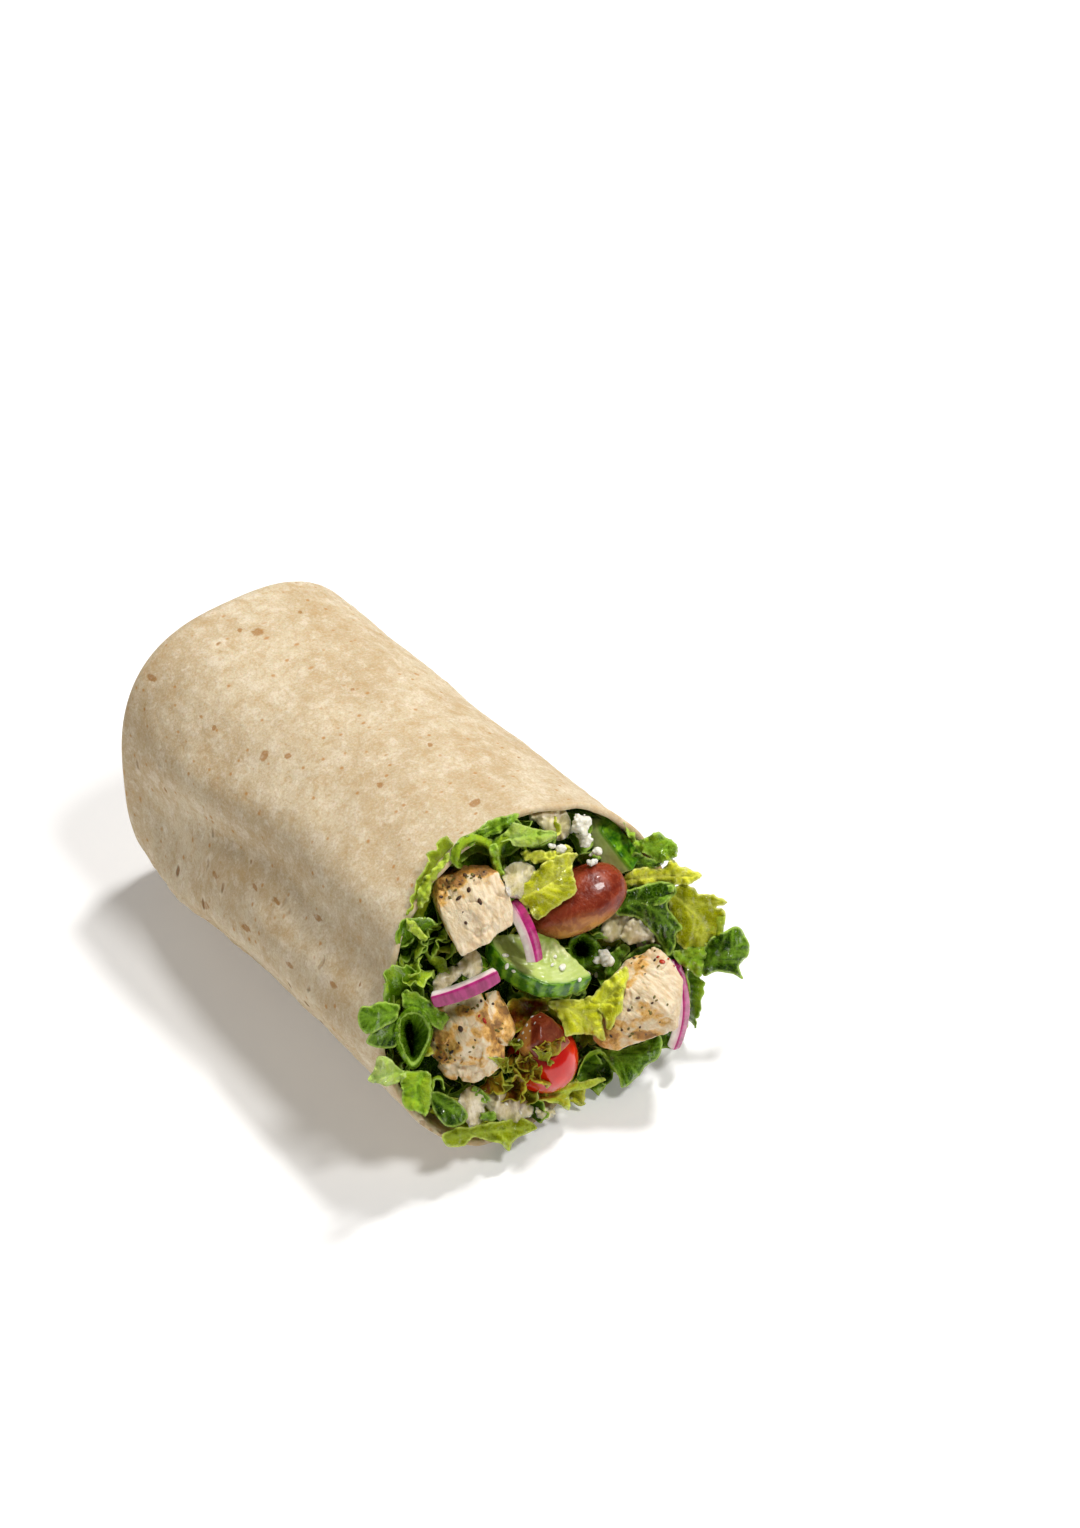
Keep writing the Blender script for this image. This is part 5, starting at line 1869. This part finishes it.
for o, n in ((ch1, "chicken_upper_left"), (ch2, "chicken_lower_left"), (ch3, "chicken_right")):
    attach(o, "root")
    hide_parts(n)
ol1, ol2 = olives(OL)
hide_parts("olive_whole")
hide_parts("olive_half")
tm = tomato(TO)
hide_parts("tomato")
cu1 = cucumber("cucumber_front_look", at(529 + 3.8 * PX, 974 - 8.3 * PX, -1.0), (.26, .62, .74),
               (.95, -.05, -.3), 15.3, 6.0, 187, 305, CU, 1)
cu2 = cucumber_wedge("cucumber_back_look", CU)
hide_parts("cucumber_front")
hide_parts("cucumber_back")
on1 = onion("onion_middle_look", at(529 + .9 * PX - 6, 974 - 10.4 * PX, 7.6), (.40, .18, -.90), (.84, .34, .42),
            24, 36, 3.1, 4.6, ON, 1)
on2 = onion("onion_left_look", at(529 - 15 * PX, 974 + 3.8 * PX, 8.6), (-.31, .78, .54), (.20, -.50, .84),
            26, 36, 2.6, 4.0, ON, 2)
on3 = onion("onion_right_look", at(529 + 36.6 * PX, 974 + 7.2 * PX, 7.6), (.40, .04, -.90), (.90, 0, .40),
            22, 58, 2.6, 4.4, ON, 3)
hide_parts("onion_middle")
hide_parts("onion_left")
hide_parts("onion_right")
toppings = [ch1, ch2, ch3, ol1, ol2, tm, cu1, cu2, on1, on2, on3]
tops = trees(toppings)

heart = core()
small = Sheets()
heap(small)
rim_leaves(small)
small_ob = small.build("lettuce_small", LEAF)
glass = Sheets()
big = Sheets(glass)
heroes(big, tops)
big_ob = big.build("lettuce_leaves", LEAF)
glass_ob = glass.build("pale_ribs", rib_material())
reds = Sheets()
red_frills(reds, tops)
red_ob = reds.build("red_leaf_lettuce", LEAF)

all_trees = tops + trees([big_ob, small_ob, red_ob, glass_ob])
fblocks = [feta_block(581, 824, 1.9, 5.4, 6.4, 4, 1), feta_block(585, 840, 2.2, 4.8, 5.2, 3.4, 2),
           feta_block(603, 958, 2.4, 6.4, 4.8, 3.6, 3), feta_block(586, 973, 1.2, 2.6, 2.8, 2.2, 4),
           feta_block(592, 862, 3, 3.4, 2.0, 1.8, 5), feta_block(561, 850, 3.0, 3.6, 2.6, 2, 6),
           feta_block(552, 846, 2.6, 1.9, 1.6, 1.5, 7), feta_block(596, 852, 1.4, 2.2, 2.4, 1.6, 8)]
feta = join(fblocks, "feta_lumps")
feta.data.materials.append(FE)
r_ = np.random.default_rng(9)
bits = [(505, 956, 1.7, .6), (507, 966, 1.5, .6), (514, 971, 1.1, .5), (552, 965, 1.3, .5),
        (562, 968, 2.2, .5), (555, 957, 1.0, .5), (538, 890, .9, .6), (560, 850, 1.2, .6),
        (572, 830, 1.8, .7), (590, 855, 1.6, .7), (596, 975, 1.4, .7), (579, 980, 1.2, .7),
        (532, 1017, .8, .35), (527, 1025, .9, .35), (523, 1033, .8, .35), (535, 1023, .6, .35),
        (519, 1040, .7, .35), (530, 1031, .6, .35), (540, 1017, .5, .35), (526, 1038, .5, .35),
        (608, 948, 1.3, .7), (520, 1112, 1.4, .6), (506, 1104, 1.1, .6), (640, 922, .9, .6)]
feta_bits = crumbs("feta_crumbs", bits, FE, all_trees)
PEP = plain("pepper", srgb(38, 24, 16), 0.6, srgb(84, 54, 30))
CHI = plain("chilli_flake", srgb(168, 22, 10), 0.4, srgb(190, 60, 20))
HER = plain("herb", srgb(96, 100, 34), 0.6, srgb(120, 96, 40))
pep = [(459, 898, 1.5, .35), (480, 902, 1.6, .35), (469, 890, 1.3, .35), (449, 887, 1.1, .35),
       (441, 897, 1.0, .35), (466, 923, .9, .35), (480, 877, 1.0, .35), (474, 876, .9, .35),
       (465, 875, 1.1, .35), (447, 880, .9, .35), (455, 872, .8, .35), (484, 872, .7, .35),
       (460, 884, .7, .35), (463, 912, .5, .35),
       (461, 1029, 1.5, .35), (452, 1052, 1.3, .35), (438, 1048, 1.1, .35), (440, 1057, 1.2, .35),
       (446, 1060, 1.0, .35), (448, 1045, .8, .35), (434, 1040, .8, .35), (455, 1060, .7, .35),
       (459, 1043, .7, .35), (481, 1001, .9, .35), (493, 1004, .8, .35), (467, 1012, .7, .35),
       (475, 1040, .5, .35), (497, 1030, .6, .35),
       (638, 998, 1.1, .35), (652, 1003, .8, .35), (629, 1010, .9, .35), (611, 1036, .9, .35),
       (640, 1027, .6, .35), (655, 960, .8, .35), (645, 974, .6, .35), (622, 1030, .8, .35),
       (634, 958, .8, .35), (602, 1040, .7, .35), (660, 1022, .5, .35)]
tp = [tops[0], tops[1], tops[2]]
pepper = crumbs("pepper_bits", pep, PEP, tp, .2)
hb = []
for (x, y, n_, sx, sy) in ((450, 884, 12, 14, 9), (474, 878, 8, 14, 7), (470, 1006, 7, 22, 9),
                           (452, 1048, 10, 16, 12), (640, 962, 9, 16, 8), (648, 1004, 8, 20, 12),
                           (626, 1028, 8, 18, 10), (500, 1020, 5, 6, 16)):
    for _ in range(n_):
        hb.append((x + r_.normal() * sx * .6, y + r_.normal() * sy * .6, r_.uniform(.4, 1.0), .32))
herbs = crumbs("herb_flecks", hb, HER, tp, .25)
chili = crumbs("chilli_flakes", [(484, 1021, 1.5, .4), (479, 1016, .9, .4), (662, 962, 1.6, .4),
                                 (668, 959, 1.0, .4), (658, 957, .9, .4), (674, 966, .6, .4)], CHI, tp, .2)

for o in (roll, heart, small_ob, big_ob, red_ob, glass_ob, feta, feta_bits, pepper, herbs, chili):
    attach(o, "root")
for o, s in ((ol1, "olive"), (ol2, "olive"), (tm, "tomato"), (cu1, "cucumber"), (cu2, "cucumber"),
             (on1, "onion"), (on2, "onion"), (on3, "onion")):
    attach(o, "root")
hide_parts("flatbread")
for o in (heart, small_ob, big_ob, red_ob, glass_ob):
    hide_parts("salad")

# ------------------------------------------------------------------- the stage
floor_me = bpy.data.meshes.new("floor")
h = 3.0
floor_me.from_pydata([(-h, -h, -0.00005), (h, -h, -0.00005), (h, h, -0.00005), (-h, h, -0.00005)], [],
                     [(0, 1, 2, 3)])
floor = bpy.data.objects.new("floor", floor_me)
bpy.context.scene.collection.objects.link(floor)
fm = Mat("floor")
fm.set(Base_Color=(0.84, 0.85, 0.87), Roughness=0.9, Specular_IOR_Level=0.1,
       Emission_Color=(1.0, 0.99, 0.98), Emission_Strength=0.17)
floor_me.materials.append(fm.m)

bpy.context.scene.view_settings.view_transform = "Standard"
world = bpy.data.worlds.new("studio")
bpy.context.scene.world = world
world.use_nodes = True
bg = world.node_tree.nodes["Background"]
bg.inputs["Color"].default_value = (1.0, 0.93, 0.83, 1)
bg.inputs["Strength"].default_value = 0.17


def lamp(name, direction, dist, size, watts, color=(1, 1, 1)):
    d = np.asarray(direction, float)
    d /= np.linalg.norm(d)
    li = bpy.data.lights.new(name, "AREA")
    li.shape = "DISK"
    li.size = size
    li.energy = watts
    li.color = color
    ob = bpy.data.objects.new(name, li)
    pos = Vector(d * dist) + Vector((0.01, 0, 0.04))
    ob.matrix_world = Matrix.Translation(pos) @ Vector(d).to_track_quat("Z", "Y").to_matrix().to_4x4()
    bpy.context.scene.collection.objects.link(ob)
    return ob


lamp("key", (-0.07, 0.37, 1.0), 2.0, 0.30, 28, (1.0, 0.975, 0.945))
lamp("side", (-0.80, -0.62, 0.42), 2.1, 0.45, 3.6, (1.0, 0.95, 0.88))
lamp("front", tuple(E_OUT * 0.72 + E_RIGHT * 0.34 + E_UP * 0.44), 2.2, 0.42, 24, (1.0, 0.98, 0.95))

cam = bpy.data.cameras.new("camera")
cam.lens = LENS
cam.sensor_fit = "VERTICAL"
cam.sensor_height = SENSOR
cam.sensor_width = SENSOR
cam.clip_start = 0.01
cam_ob = bpy.data.objects.new("camera", cam)
R3 = np.stack([E_RIGHT, E_UP, E_OUT], -1)
M = np.eye(4)
M[:3, :3] = R3
M[:3, 3] = EYE
cam_ob.matrix_world = Matrix(M.tolist())
bpy.context.scene.collection.objects.link(cam_ob)
bpy.context.scene.camera = cam_ob
